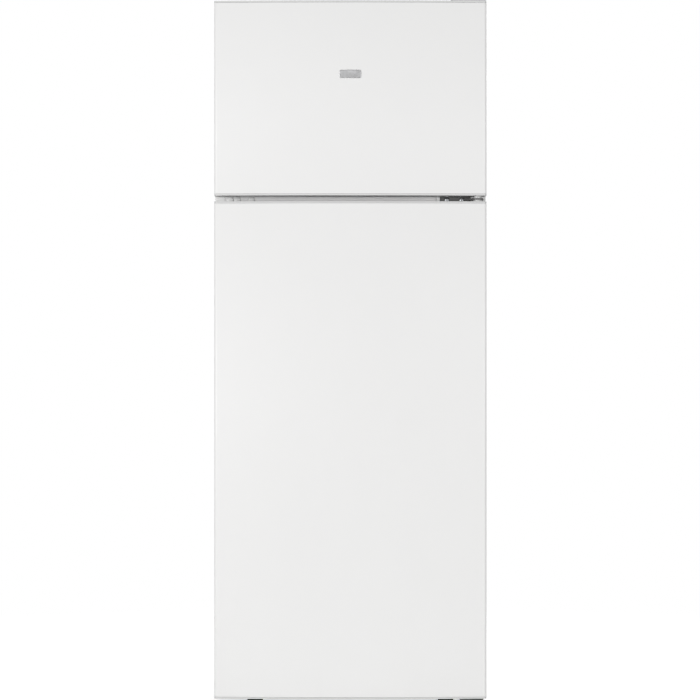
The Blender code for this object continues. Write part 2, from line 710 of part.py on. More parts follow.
def mullion_rail():
    """The steel channel between the two openings, with holes for the middle hinge on either side."""
    rail = box("mullion_rail", either_side(RAIL_HALF), (FACE, FACE + RAIL_DEPTH), RAIL, "white_enamel")
    inside = (RAIL[0] + LINER_SHEET, RAIL[1] - LINER_SHEET)
    cut_box(rail, either_side(RAIL_HALF + THROUGH), (FACE + LINER_SHEET, FACE + BEYOND), inside)
    for x in plug_places():
        cut_rod(rail, "Y", (x, SLOT_MIDDLE), PLUG_STEM_RADIUS + GAP, (FACE - THROUGH, FACE + THROUGH))
    for x in middle_screws():
        cut_rod(rail, "Y", (x, SLOT_MIDDLE), SCREW_RADIUS + GAP, (FACE - THROUGH, FACE + THROUGH))
    return rail


def bottom_rail():
    """The angle under the lower opening. Its lower leg carries the feet and the lower hinge."""
    half = LINER_SHEET / 2
    path = [
        (FACE + half, BOTTOM_RAIL_TOP),
        (FACE + half, FLOOR_GAP + half),
        (FACE + BOTTOM_RAIL_DEPTH, FLOOR_GAP + half),
    ]
    rail = folded_sheet("bottom_rail", path, either_side(RAIL_HALF), "X", LINER_SHEET, "white_enamel")
    for side in (-1, 1):
        x, y = foot_place(side)
        cut_rod(rail, "Z", (x, y), FOOT_STEM_RADIUS + GAP, (FLOOR_GAP - THROUGH, FLOOR_GAP + 2 * THROUGH))
    return rail


def niche_panel():
    """The bent sheet under the foam: the cabinet's floor, then the front and the roof of the niche."""
    half = TRAY_SHEET / 2
    path = [
        (FACE + BOTTOM_RAIL_DEPTH + GAP, FLOOR_GAP + half),
        (NICHE_FRONT - half, FLOOR_GAP + half),
        (NICHE_FRONT - half, NICHE_TOP + half),
        (BACK, NICHE_TOP + half),
    ]
    panel = folded_sheet(
        "niche_panel", path, either_side(HALF_WIDTH - SHEET - GAP), "X", TRAY_SHEET, "galvanised_steel"
    )
    cut_rod(panel, "Z", drain_place(), DRAIN_RADIUS + GAP, (NICHE_TOP - THROUGH, NICHE_TOP + 2 * THROUGH))
    return panel


# What cools it


def compressor_place():
    return COMPRESSOR_OFFSET, (NICHE_FRONT + BACK) / 2


def compressor_floor():
    return TRAY_LIFT + TRAY_SHEET + GAP


def compressor_tray():
    """The steel tray across the niche. Its side walls carry the rollers' axles."""
    half = HALF_WIDTH - TRAY_SIDE_ROOM
    y = (NICHE_FRONT + GAP, BACK - GAP)
    sheet = (TRAY_LIFT, TRAY_LIFT + TRAY_SHEET)
    tray = box("compressor_tray", either_side(half), y, sheet, "galvanised_steel")
    wall = (ROLLER_RADIUS - 2 * AXLE_RADIUS, TRAY_LIFT + TRAY_WALL)
    ends = (half + TRAY_SHEET / 2, roller_middle() + ROLLER_WIDTH / 2 + THROUGH)
    place = (BACK - ROLLER_BACK_INSET, ROLLER_RADIUS)
    for side in (-1, 1):
        join_box(tray, sorted((side * (half - TRAY_SHEET / 2), side * (half + TRAY_SHEET))), y, wall)
        join_rod(tray, "X", place, AXLE_RADIUS, sorted((side * ends[0], side * ends[1])))
    return tray


def compressor():
    """The sealed compressor: a domed pot on a mounting plate."""
    x, y = compressor_place()
    floor = compressor_floor()
    radius = COMPRESSOR_RADIUS
    top = floor + COMPRESSOR_HEIGHT
    dome = radius * 0.45
    profile = []
    for step in range(7):
        angle = math.pi / 2 * step / 6
        profile.append((radius * math.sin(angle), top - dome * (1 - math.cos(angle))))
    profile.append((radius, floor + dome))
    profile.append((radius * 0.8, floor + PLATE / 2))
    profile.append((0, floor + PLATE / 2))
    pot = turned("compressor", profile, (x, y, 0), "black_enamel")
    reach = radius * 1.12
    join_box(pot, (x - reach, x + reach), (y - radius, y + radius), (floor, floor + PLATE), radius / 8)
    return pot


def drip_pan():
    """The pan over the compressor that catches and dries the melt water."""
    x, y = compressor_place()
    floor = compressor_floor() + COMPRESSOR_HEIGHT + GAP
    half = COMPRESSOR_RADIUS
    z = (floor, floor + DRIP_PAN_HEIGHT)
    corner = BIN_CORNER_RADIUS
    pan = box("evaporating_pan", (x - half, x + half), (y - half, y + half), z, "black_plastic", corner)
    inner = half - BIN_WALL
    inside = (floor + BIN_WALL, floor + DRIP_PAN_HEIGHT + THROUGH)
    cut_box(pan, (x - inner, x + inner), (y - inner, y + inner), inside, corner - BIN_WALL)
    return pan


def drain_place():
    return compressor_place()


def drain_tube():
    """The tube that leads melt water from the step down to the pan."""
    foot = compressor_floor() + COMPRESSOR_HEIGHT + 2 * GAP + DRIP_PAN_HEIGHT
    head = STEP_TOP - GAP
    inner = DRAIN_RADIUS - DRAIN_WALL
    profile = [(DRAIN_RADIUS, head), (DRAIN_RADIUS, foot), (inner, foot), (inner, head)]
    return turned("drain_tube", profile, (*drain_place(), 0), "grey_plastic", closed=True)


def filter_drier():
    """The copper drier in the refrigerant line, lying across the niche."""
    x, y = -compressor_place()[0], NICHE_FRONT + 4 * DRAIN_RADIUS
    z = compressor_floor() + TRAY_WALL
    body, neck, length = 0.010, TUBE_RADIUS, 0.110
    profile = [
        (0, length / 2),
        (neck, length / 2),
        (neck, length / 2 - body),
        (body, length / 2 - 2 * body),
        (body, 2 * body - length / 2),
        (neck, body - length / 2),
        (neck, -length / 2),
        (0, -length / 2),
    ]
    return turned("filter_drier", profile, (x, y, z), "copper", axis="X")


def rounded_path(corners, radius, steps=3):
    """A polyline through the corners, each turned with a round bend."""
    points = [Vector(corners[0])]
    for before, corner, after in zip(corners, corners[1:], corners[2:]):
        corner = Vector(corner)
        into = (Vector(before) - corner).normalized() * radius
        out = (Vector(after) - corner).normalized() * radius
        for step in range(steps + 1):
            share = step / steps
            points.append(corner + into * (1 - share) ** 2 + out * share**2)
    return points + [Vector(corners[-1])]


def compressor_tubes():
    """The suction and discharge tubes from the compressor to the niche's front wall."""
    x, y = compressor_place()
    low = compressor_floor() + 0.4 * COMPRESSOR_HEIGHT
    high = compressor_floor() + 0.6 * COMPRESSOR_HEIGHT
    start = x - COMPRESSOR_RADIUS - GAP
    wall = NICHE_FRONT + GAP
    bend = 6 * TUBE_RADIUS
    for name, z, reach in (("suction_tube", low, 0.040), ("discharge_tube", high, 0.070)):
        corners = [(start, y, z), (start - reach, y, z), (start - reach, wall, z)]
        tube(name, rounded_path(corners, bend), TUBE_RADIUS, "copper")


def serpentine(rows, first, last, low, high, place):
    """Runs to and fro between two ends, joined by half-round bends. The place function sets each point."""
    pitch = (high - low) / (rows - 1)
    bend = abs(pitch) / 2
    points = []
    for row in range(rows):
        level = low + pitch * row
        near, far = (first, last) if row % 2 == 0 else (last, first)
        side = 1 if far > near else -1
        points.append(place(near + side * bend * (row > 0), level))
        points.append(place(far - side * bend * (row < rows - 1), level))
        if row < rows - 1:
            for step in range(1, 4):
                angle = math.pi * step / 4
                along = far - side * bend + side * bend * math.sin(angle)
                points.append(place(along, level + pitch / 2 * (1 - math.cos(angle))))
    return points


def evaporator_limits():
    """Half width, and height range, of the fridge evaporator behind the liner's back wall."""
    return 0.75 * LINER_HALF, (SHELF_HEIGHTS[0], FRIDGE_CEILING - 2 * FLANGE)


def evaporator_room():
    half, span = evaporator_limits()
    margin = 2 * TUBE_RADIUS
    y = (LINER_BACK - THROUGH, LINER_BACK + COIL_ROOM)
    return either_side(half + margin), y, (span[0] - margin, span[1] + margin)


def fridge_evaporator():
    half, span = evaporator_limits()
    y = LINER_BACK + GAP + TUBE_RADIUS
    points = serpentine(8, -half, half, span[0], span[1], lambda a, b: (a, y, b))
    return tube("fridge_evaporator", points, TUBE_RADIUS, "aluminium")


def freezer_coil_limits():
    return FACE + RAIL_DEPTH + 2 * FLANGE, LINER_BACK - FLANGE


def freezer_coil_room():
    front, back = freezer_coil_limits()
    margin = COIL_ROOM
    y = (front - 2 * TUBE_RADIUS, back + 2 * TUBE_RADIUS)
    return either_side(LINER_HALF + margin), y, (FREEZER_FLOOR - margin, FREEZER_CEILING + margin)


def freezer_evaporator():
    """The tube wound round the freezer's liner."""
    front, back = freezer_coil_limits()
    half = LINER_HALF + GAP + TUBE_RADIUS
    low = FREEZER_FLOOR - GAP - TUBE_RADIUS
    high = FREEZER_CEILING + GAP + TUBE_RADIUS
    ring = [(-half, low), (half, low), (half, high), (-half, high)]
    turns = 6
    corners = []
    for step in range(4 * turns + 1):
        x, z = ring[step % 4]
        corners.append((x, front + (back - front) * step / (4 * turns), z))
    return tube("freezer_evaporator", corners, TUBE_RADIUS, "aluminium")


def condenser_limits():
    """Depth range and height range of the condenser's runs in the side walls."""
    return (FACE + 4 * FLANGE, BACK - 2 * FLANGE), (STEP_TOP, CABINET_TOP - FLANGE)


def condenser_wall():
    return HALF_WIDTH - SHEET - GAP - TUBE_RADIUS


def condenser_room(side):
    y, z = condenser_limits()
    margin = 2 * TUBE_RADIUS
    x = sorted((side * (condenser_wall() - TUBE_RADIUS - GAP), side * HALF_WIDTH))
    return x, (y[0] - margin, y[1] + margin), (z[0] - margin, z[1] + margin)


def condenser_bridge_room():
    y, z = condenser_limits()
    margin = TUBE_RADIUS + GAP
    return either_side(HALF_WIDTH), (y[0] - margin, y[0] + margin), (z[1] - margin, z[1] + margin)


def condenser_coil():
    """The warm tube in both side walls, joined across the roof."""
    y, z = condenser_limits()
    wall = condenser_wall()
    left = serpentine(9, y[0], y[1], z[1], z[0], lambda a, b: (-wall, a, b))
    right = [(-x, a, b) for x, a, b in left]
    return tube("condenser_coil", [*reversed(left), *right], TUBE_RADIUS, "galvanised_steel")


def cord_gland():
    """The grommet in the niche's roof where a mains lead would leave."""
    x, y = -HALF_WIDTH + 2 * TRAY_SIDE_ROOM, BACK - 2 * GLAND_RADIUS
    top = NICHE_TOP - GAP
    hole = GLAND_RADIUS / 2
    profile = [
        (GLAND_RADIUS, top),
        (GLAND_RADIUS, top - GLAND_RADIUS / 3),
        (0.7 * GLAND_RADIUS, top - GLAND_RADIUS),
        (hole, top - GLAND_RADIUS),
        (hole, top),
    ]
    return turned("cord_gland", profile, (x, y, 0), "black_plastic", closed=True)


# The hinges


def plug_places():
    """The plugged holes' places along X, set from the cabinet's left side."""
    return [inset - HALF_WIDTH for inset in PLUG_INSETS]


def middle_screws():
    """The middle hinge's screws along X, the first set from the cabinet's right side."""
    first = HALF_WIDTH - SCREW_INSET
    return [first, first + SCREW_SPACING]


def pin_with_collar(owner, limits, collar):
    join_rod(owner, "Z", (PIN_X, PIN_Y), PIN_RADIUS, limits)
    join_rod(owner, "Z", (PIN_X, PIN_Y), COLLAR_RADIUS, collar)


def middle_hinge():
    """A plate screwed to the mullion, an arm through the slot, and a pin up and down from its end."""
    z = (SLOT_MIDDLE - MIDDLE_PLATE_HEIGHT / 2, SLOT_MIDDLE + MIDDLE_PLATE_HEIGHT / 2)
    arm_left = PIN_X - 1.3 * ARM_END_RADIUS
    plate_x = (arm_left - MIDDLE_PLATE_WIDTH, arm_left + THROUGH)
    hinge = box("middle_hinge", plate_x, (FACE - GAP - PLATE, FACE - GAP), z, "dark_steel")
    arm = (SLOT_MIDDLE - ARM_THICKNESS / 2, SLOT_MIDDLE + ARM_THICKNESS / 2)
    join_box(hinge, (arm_left, PIN_X + ARM_END_RADIUS), (PIN_Y, FACE - GAP), arm)
    join_rod(hinge, "Z", (PIN_X, PIN_Y), ARM_END_RADIUS, arm)
    pin = (FRIDGE_DOOR[1] - PIN_REACH, FREEZER_DOOR[0] + PIN_REACH)
    pin_with_collar(hinge, pin, (FRIDGE_DOOR[1] + GAP, FREEZER_DOOR[0] - GAP))
    for x in middle_screws():
        cut_rod(hinge, "Y", (x, SLOT_MIDDLE), SCREW_RADIUS + GAP, (FACE - BEYOND, FACE + THROUGH))
    return hinge


def hinge_screw(name, x):
    """A pan-head screw, driven in along +Y."""
    front = FACE - GAP - PLATE - GAP
    head = SCREW_HEAD_RADIUS
    profile = [
        (0, head / 2),
        (head * 0.6, head * 0.45),
        (head, head * 0.15),
        (head, 0),
        (SCREW_RADIUS, 0),
        (SCREW_RADIUS, -SCREW_LENGTH),
        (0, -SCREW_LENGTH),
    ]
    return turned(name, profile, (x, front, SLOT_MIDDLE), "galvanised_steel", axis="-Y")


def hole_plug(name, x):
    """A domed plastic plug in one of the unused hinge holes."""
    rim = 0.0018
    profile = [
        (0, rim),
        (PLUG_RADIUS * 0.7, rim * 0.85),
        (PLUG_RADIUS, rim * 0.3),
        (PLUG_RADIUS, 0),
        (PLUG_STEM_RADIUS, 0),
        (PLUG_STEM_RADIUS, -PLUG_RADIUS),
        (0, -PLUG_RADIUS),
    ]
    return turned(name, profile, (x, FACE - GAP, SLOT_MIDDLE), "white_plastic", axis="-Y")


def top_hinge():
    """A plate on the roof that reaches over the upper door, with its pin down into the cap."""
    z = (CABINET_TOP + GAP, CABINET_TOP + GAP + PLATE)
    x = (PIN_X + ARM_END_RADIUS - TOP_PLATE_WIDTH, PIN_X + ARM_END_RADIUS)
    hinge = box("top_hinge", x, (FACE, FACE + TOP_PLATE_DEPTH), z, "galvanised_steel", ARM_END_RADIUS / 2)
    join_box(hinge, (PIN_X - ARM_END_RADIUS, PIN_X + ARM_END_RADIUS), (PIN_Y, FACE + THROUGH), z)
    join_rod(hinge, "Z", (PIN_X, PIN_Y), ARM_END_RADIUS, z)
    join_rod(hinge, "Z", (PIN_X, PIN_Y), PIN_RADIUS, (FREEZER_DOOR[1] - PIN_REACH, z[1]))
    return hinge


def top_hinge_cover():
    """The moulded cap over the upper hinge, open below."""
    margin = COVER_MARGIN
    x = (PIN_X + ARM_END_RADIUS - TOP_PLATE_WIDTH - margin, HALF_WIDTH - DOOR_SIDE_INSET)
    y = (PIN_Y - ARM_END_RADIUS - margin, FACE + TOP_PLATE_DEPTH + margin)
    z = (CABINET_TOP + GAP, CABINET_TOP + COVER_HEIGHT)
    cover = box("top_hinge_cover", x, y, z, "white_plastic", BIN_CORNER_RADIUS)
    wall = COVER_WALL
    inside = (x[0] + wall, x[1] - wall), (y[0] + wall, y[1] - wall), (z[0] - THROUGH, z[1] - wall)
    cut_box(cover, *inside, BIN_CORNER_RADIUS - wall)
    return cover


def bottom_hinge():
    """A bracket under the bottom rail, with its pin up into the lower door."""
    z = (FLOOR_GAP - GAP - ARM_THICKNESS, FLOOR_GAP - GAP)
    x = (PIN_X - 3 * ARM_END_RADIUS, PIN_X + ARM_END_RADIUS)
    hinge = box("bottom_hinge", x, (PIN_Y, FACE + 2 * FLANGE), z, "dark_steel")
    join_rod(hinge, "Z", (PIN_X, PIN_Y), ARM_END_RADIUS, z)
    pin_with_collar(hinge, (z[0] + GAP, FRIDGE_DOOR[0] + PIN_REACH), (z[0] + GAP, FRIDGE_DOOR[0] - GAP))
    return hinge


# The inside


def lid_level():
    return STEP_TOP + 2 * LINER_SHEET


def glass_shelf(name, level, front):
    half = LINER_HALF - LINER_SHEET - SHELF_SIDE_GAP
    y = (front, LINER_BACK - LINER_SHEET - 2 * SHELF_SIDE_GAP)
    return box(name, either_side(half), y, (level, level + SHELF_THICKNESS), "glass")


def freezer_shelf_front():
    return PAN_FLOOR + FREEZER_BIN_DEPTH + BIN_TO_SHELF


def crisper_drawer():
    """The vegetable drawer, which slides out under its glass lid once the door is open."""
    half = LINER_HALF - LINER_SHEET - DRAWER_SIDE_GAP
    y = (SHELF_FRONT, STEP_FRONT - LINER_SHEET - DRAWER_BACK_GAP)
    floor = FRIDGE_FLOOR + LINER_SHEET + DRAWER_FLOOR_GAP
    rim = min(floor + DRAWER_HEIGHT, lid_level() - LEDGE_HEIGHT - 2 * THROUGH)
    corner = DRAWER_CORNER_RADIUS
    drawer = box("crisper_drawer", either_side(half), y, (floor, rim), "clear_plastic", corner)
    wall = DRAWER_WALL
    inside_y = (y[0] + wall, y[1] - wall)
    cut_box(drawer, either_side(half - wall), inside_y, (floor + wall, rim + THROUGH), corner - wall)
    hang(joint_empty("crisper_slide", (0, y[0], floor)), drawer)


def lamp_box_limits():
    width, depth, height = LAMP_BOX
    ceiling = FRIDGE_CEILING - LINER_SHEET - GAP
    front = FACE + LAMP_BOX_SETBACK
    return either_side(width / 2), (front, front + depth), (ceiling - height, ceiling)


def knob_place():
    x, _, z = lamp_box_limits()
    return x[0] + 2 * KNOB_RADIUS, (z[0] + z[1]) / 2


def lamp_housing():
    """The box under the ceiling that holds the thermostat and the lamp. It is open above."""
    x, y, z = lamp_box_limits()
    housing = box("lamp_housing", x, y, z, "white_plastic")
    wall = LAMP_BOX_WALL
    cut_box(housing, (x[0] + wall, x[1] - wall), (y[0] + wall, y[1] - wall), (z[0] + wall, z[1] + THROUGH))
    cut_rod(housing, "Y", knob_place(), KNOB_SHAFT_RADIUS + GAP, (y[0] - THROUGH, y[0] + 2 * wall))
    window_x, window_z = lamp_window()
    hole_x = (window_x[0] + wall, window_x[1] - wall)
    cut_box(housing, hole_x, (y[0] - THROUGH, y[0] + 2 * wall), (window_z[0] + wall, window_z[1] - wall))
    return housing


def lamp_window():
    x, _, z = lamp_box_limits()
    width, _, height = LAMP_WINDOW
    right = x[1] - KNOB_RADIUS
    middle = (z[0] + z[1]) / 2
    return (right - width, right), (middle - height / 2, middle + height / 2)


def lamp_cover():
    _, y, _ = lamp_box_limits()
    window_x, window_z = lamp_window()
    front = y[0] - GAP
    return box("lamp_cover", window_x, (front - LAMP_WINDOW[1], front), window_z, "clear_plastic")


def thermostat_knob():
    """The dial, which turns on the thermostat's shaft along Y."""
    x, z = knob_place()
    front = lamp_box_limits()[1][0] - GAP
    shaft = 3 * LAMP_BOX_WALL
    profile = [
        (0, KNOB_DEPTH),
        (KNOB_RADIUS * 0.9, KNOB_DEPTH),
        (KNOB_RADIUS, KNOB_DEPTH * 0.85),
        (KNOB_RADIUS, 0),
        (KNOB_SHAFT_RADIUS, 0),
        (KNOB_SHAFT_RADIUS, -shaft),
        (0, -shaft),
    ]
    knob = turned("thermostat_knob", profile, (x, front, z), "white_plastic", axis="-Y")
    bar = KNOB_RADIUS * 0.2
    long = 4 * bar
    bar_y = (front - KNOB_DEPTH - bar, front - KNOB_DEPTH / 2)
    join_box(knob, (x - bar, x + bar), bar_y, (z - long, z + long))


def plunger_place():
    """Between the gasket's inner edge and the opening, on the side that the door swings clear of."""
    inner_edge = DOOR_HALF - GASKET_INSET - GASKET_WIDTH
    return -(inner_edge + LINER_HALF) / 2, FRIDGE_CEILING - PLUNGER_BELOW_TOP


def light_switch_plunger():
    """The plunger that the closed door holds in."""
    x, z = plunger_place()
    tip = DOOR_BACK + GAP
    limits = (tip, tip + PLUNGER_LENGTH)
    plunger = rod("light_switch_plunger", "Y", (x, z), PLUNGER_RADIUS, limits, "white_plastic")
    hang(joint_empty("light_switch_axis", (x, tip, z)), plunger)


# The feet and the rollers


def foot_place(side):
    return side * (HALF_WIDTH - FOOT_SIDE_INSET), FACE + FOOT_SETBACK


def levelling_foot(name, side):
    """A screw-in foot: a broad pad and a stem up through the bottom rail."""
    x, y = foot_place(side)
    profile = [
        (0, FOOT_STEM_TOP),
        (FOOT_STEM_RADIUS, FOOT_STEM_TOP),
        (FOOT_STEM_RADIUS, FOOT_HEIGHT),
        (FOOT_RADIUS * 0.85, FOOT_HEIGHT),
        (FOOT_RADIUS, FOOT_HEIGHT * 0.7),
        (FOOT_RADIUS, 0),
        (0, 0),
    ]
    return turned(name, profile, (x, y, 0), "black_plastic")


def roller_middle():
    return HALF_WIDTH - TRAY_SIDE_ROOM / 2 - SHEET


def roller(name, side):
    """A plain wheel that turns on the tray's axle."""
    half = ROLLER_WIDTH / 2
    bore = AXLE_RADIUS + GAP
    rim = ROLLER_RADIUS - GAP * 5
    tread = half * 0.8
    outside = [(rim, half), (ROLLER_RADIUS, tread), (ROLLER_RADIUS, -tread), (rim, -half)]
    profile = [*outside, (bore, -half), (bore, half)]
    place = (side * roller_middle(), BACK - ROLLER_BACK_INSET, ROLLER_RADIUS)
    return turned(name, profile, place, "grey_plastic", axis="X", closed=True)


def build():
    cabinet_shell()
    cabinet_foam()
    freezer_liner()
    fridge_liner()
    fridge_liner_base()
    back_panel()
    mullion_rail()
    bottom_rail()
    niche_panel()
    compressor_tray()
    compressor()
    drip_pan()
    drain_tube()
    filter_drier()
    compressor_tubes()
    fridge_evaporator()
    freezer_evaporator()
    condenser_coil()
    cord_gland()
    middle_hinge()
    top_hinge()
    top_hinge_cover()
    bottom_hinge()
    for number, x in enumerate(middle_screws(), start=1):
        hinge_screw(f"middle_hinge_screw_{number}", x)
    for number, x in enumerate(plug_places(), start=1):
        hole_plug(f"hole_plug_{number}", x)
    for name, level in zip(("glass_shelf_lower", "glass_shelf_upper"), SHELF_HEIGHTS):
        glass_shelf(name, level, SHELF_FRONT)
    glass_shelf("crisper_lid", lid_level(), SHELF_FRONT)
    glass_shelf("freezer_shelf", FREEZER_FLOOR + FREEZER_SHELF_RISE, freezer_shelf_front())
    crisper_drawer()
    lamp_housing()
    lamp_cover()
    thermostat_knob()
    light_switch_plunger()
    for name, side in (("left", -1), ("right", 1)):
        levelling_foot(f"levelling_foot_{name}", side)
        roller(f"rear_roller_{name}", side)
    fridge_door()
    freezer_door()


build()
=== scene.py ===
# %% [markdown]
# # A top freezer refrigerator
# The cabinet, doors, hinges and everything else that carries load come packed from the CAD step, in metres,
# +Z up, with the doors facing -Y. This file gives them their surfaces, and remakes each piece whose look
# depends on fine shape: the crowned doors and their seals, the formed liners, bins and shelves,
# the pressed back and the machinery in the niche.

# %% Load the imported frame
import math

import bmesh
import bpy
from mathutils import Matrix, Vector


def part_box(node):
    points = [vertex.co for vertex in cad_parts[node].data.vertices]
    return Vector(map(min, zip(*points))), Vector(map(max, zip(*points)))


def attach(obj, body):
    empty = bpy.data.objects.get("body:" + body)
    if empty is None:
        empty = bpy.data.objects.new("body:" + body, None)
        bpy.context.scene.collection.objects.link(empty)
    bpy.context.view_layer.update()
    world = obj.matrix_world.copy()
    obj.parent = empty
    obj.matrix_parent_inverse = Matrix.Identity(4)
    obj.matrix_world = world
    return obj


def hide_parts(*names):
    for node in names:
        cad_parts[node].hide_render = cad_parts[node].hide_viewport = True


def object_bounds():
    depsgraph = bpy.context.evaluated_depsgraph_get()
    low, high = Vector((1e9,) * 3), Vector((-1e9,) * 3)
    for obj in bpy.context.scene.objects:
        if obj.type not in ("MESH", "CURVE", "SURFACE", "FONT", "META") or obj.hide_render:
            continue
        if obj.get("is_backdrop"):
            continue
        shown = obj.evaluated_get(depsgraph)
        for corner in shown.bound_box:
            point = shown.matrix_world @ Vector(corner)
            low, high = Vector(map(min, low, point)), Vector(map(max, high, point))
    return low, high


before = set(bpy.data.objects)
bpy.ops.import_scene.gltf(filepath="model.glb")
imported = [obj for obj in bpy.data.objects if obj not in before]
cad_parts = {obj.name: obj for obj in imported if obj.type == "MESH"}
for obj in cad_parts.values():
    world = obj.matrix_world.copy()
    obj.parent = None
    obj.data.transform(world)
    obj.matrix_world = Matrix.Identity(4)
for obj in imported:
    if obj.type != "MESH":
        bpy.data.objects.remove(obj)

CAD_LOW, CAD_HIGH = (corner.copy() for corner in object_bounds())
print("CAD box", [round(v, 4) for v in (*CAD_LOW, *CAD_HIGH)])

# %% [markdown]
# ## Camera, floor and light
# A white appliance is hard to light: it shows only where its light and dark sides meet. So the room is an even
# white dome, which fills every shadow, and two wide, low panels. The stronger one is on the left, which makes
# that edge of the crowned doors a little brighter. Both stand level with the slot between the doors, so that
# their light reaches the rail at its back. The camera is level and far off, with a long lens, so the doors'
# upright edges stay upright and parallel.

# %% Camera
DOOR_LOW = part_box("fridge_door_skin")[0]
CROWN = 0.009
FRAME_HEIGHT = 1.4082
CAMERA_DISTANCE = 5.5
CAMERA_HEIGHT = 0.7195
CAMERA_ASIDE = -0.0008
SENSOR = 36.0


def make_camera():
    data = bpy.data.cameras.new("camera")
    data.sensor_width = SENSOR
    data.lens = SENSOR * CAMERA_DISTANCE / FRAME_HEIGHT
    camera = bpy.data.objects.new("camera", data)
    bpy.context.scene.collection.objects.link(camera)
    camera.location = (CAMERA_ASIDE, DOOR_LOW.y + CROWN - CAMERA_DISTANCE, CAMERA_HEIGHT)
    camera.rotation_euler = (math.pi / 2, 0, 0)
    bpy.context.scene.camera = camera
    return camera


camera = make_camera()
print("lens", round(camera.data.lens, 1), "mm")

# %% World and lights
DOME_LIGHT = 0.45
DOME_SEEN = 1.0


def make_world():
    """An even white dome. It lights the object a little less than it shows."""
    world = bpy.data.worlds.new("dome")
    world.use_nodes = True
    tree = world.node_tree
    back = tree.nodes["Background"]
    back.inputs["Color"].default_value = (1, 1, 1, 1)
    path = tree.nodes.new("ShaderNodeLightPath")
    level = tree.nodes.new("ShaderNodeMapRange")
    level.inputs["To Min"].default_value = DOME_LIGHT
    level.inputs["To Max"].default_value = DOME_SEEN
    tree.links.new(path.outputs["Is Camera Ray"], level.inputs["Value"])
    tree.links.new(level.outputs["Result"], back.inputs["Strength"])
    bpy.context.scene.world = world


def area_light(name, place, target, size, power):
    data = bpy.data.lights.new(name, "AREA")
    data.shape = "RECTANGLE"
    data.size, data.size_y = size
    data.energy = power
    light = bpy.data.objects.new(name, data)
    bpy.context.scene.collection.objects.link(light)
    light.location = place
    light.rotation_euler = (Vector(target) - Vector(place)).to_track_quat("-Z", "Y").to_euler()


make_world()
area_light("key_panel", (-2.7, -4.3, 0.96), (0, 0, 1.0), (2.2, 0.8), 100)
area_light("fill_panel", (2.7, -4.3, 0.96), (0, 0, 1.0), (2.2, 0.8), 50)
area_light("rear_panel", (1.5, 4.0, 2.6), (0, 0, 0.8), (2.4, 2.4), 45)
bpy.context.scene.view_settings.view_transform = "Standard"

# %% [markdown]
# ## Shader helpers
# A finish is easier to read as a formula than as a list of nodes and links. `Wire` wraps one socket, and
# adds a Math node for each operator used on it. `Finish` makes a material, and its `node` method adds
# any other node from its type, its settings and the values or wires of its inputs.

# %% Wire and Finish


class Wire:
    """One output socket, which takes part in sums with numbers and other wires."""

    def __init__(self, finish, socket):
        self.finish, self.socket = finish, socket

    def math(self, operation, first, second):
        return self.finish.node("ShaderNodeMath", {"operation": operation}, {0: first, 1: second})

    def __add__(self, other):
        return self.math("ADD", self, other)

    def __mul__(self, other):
        return self.math("MULTIPLY", self, other)

    def __sub__(self, other):
        return self.math("SUBTRACT", self, other)

    __radd__ = __add__
    __rmul__ = __mul__


class Finish:
    """A material under construction, round its Principled shader."""

    def __init__(self, name, roughness=0.4, metallic=0.0, **constants):
        self.material = bpy.data.materials.new(name)
        self.material.use_nodes = True
        self.tree = self.material.node_tree
        self.shader = self.tree.nodes["Principled BSDF"]
        self.shader.inputs["Roughness"].default_value = roughness
        self.shader.inputs["Metallic"].default_value = metallic
        for socket, value in constants.items():
            self.shader.inputs[socket.replace("_", " ")].default_value = value

    def node(self, kind, settings, sockets, output=0):
        """A node of this type, with its settings made first and then its inputs set or linked."""
        made = self.tree.nodes.new(kind)
        for setting, value in settings.items():
            setattr(made, setting, value)
        for socket, value in sockets.items():
            if isinstance(value, Wire):
                self.tree.links.new(value.socket, made.inputs[socket])
            else:
                made.inputs[socket].default_value = value
        return Wire(self, made.outputs[output])

    def feed(self, socket, wire):
        self.tree.links.new(wire.socket, self.shader.inputs[socket])

    def place(self, stretch=(1, 1, 1)):
        """Object coordinates, in metres, drawn out along chosen axes."""
        plain = self.node("ShaderNodeTexCoord", {}, {}, "Object")
        return self.node("ShaderNodeMapping", {}, {"Vector": plain, "Scale": stretch})

    def noise(self, where, scale, detail=2.0, rough=0.5):
        sockets = {"Vector": where, "Scale": scale, "Detail": detail, "Roughness": rough}
        return self.node("ShaderNodeTexNoise", {}, sockets, "Fac")

    def cells(self, where, scale, output="Distance"):
        return self.node("ShaderNodeTexVoronoi", {}, {"Vector": where, "Scale": scale}, output)

    def blend(self, share, first, second):
        """A colour between two, by a share from 0 to 1."""
        sockets = {"Factor": share, 6: first, 7: second}
        return self.node("ShaderNodeMix", {"data_type": "RGBA"}, sockets, 2)

    def band(self, wire, low, high, to_low=0.0, to_high=1.0):
        """The wire's range low to high, spread over another range and held at its ends."""
        sockets = {"Value": wire, "From Min": low, "From Max": high, "To Min": to_low, "To Max": to_high}
        return self.node("ShaderNodeMapRange", {"clamp": True}, sockets)

    def bump(self, height, depth):
        """Relief of this depth in metres on the shader's normal."""
        sockets = {"Height": height, "Distance": depth, "Strength": 1.0}
        self.feed("Normal", self.node("ShaderNodeBump", {}, sockets))


# %% [markdown]
# ## Finishes
# Enamel on sheet steel is never quite flat. It keeps a fine orange peel from spraying, a faint wave from the
# rolled sheet and the foam behind it, and handling that changes its gloss. The white finishes below are two
# recipes with their own numbers, so a door, a moulded cap and a formed liner stay apart. The caps' plastic is
# set a darker grey than white, which paints the shade that falls on their rims in the slot between the doors.

# %% Painted and moulded finishes


def tinted(colour, share):
    return tuple(min(c * share, 1.0) for c in colour) + (1.0,)


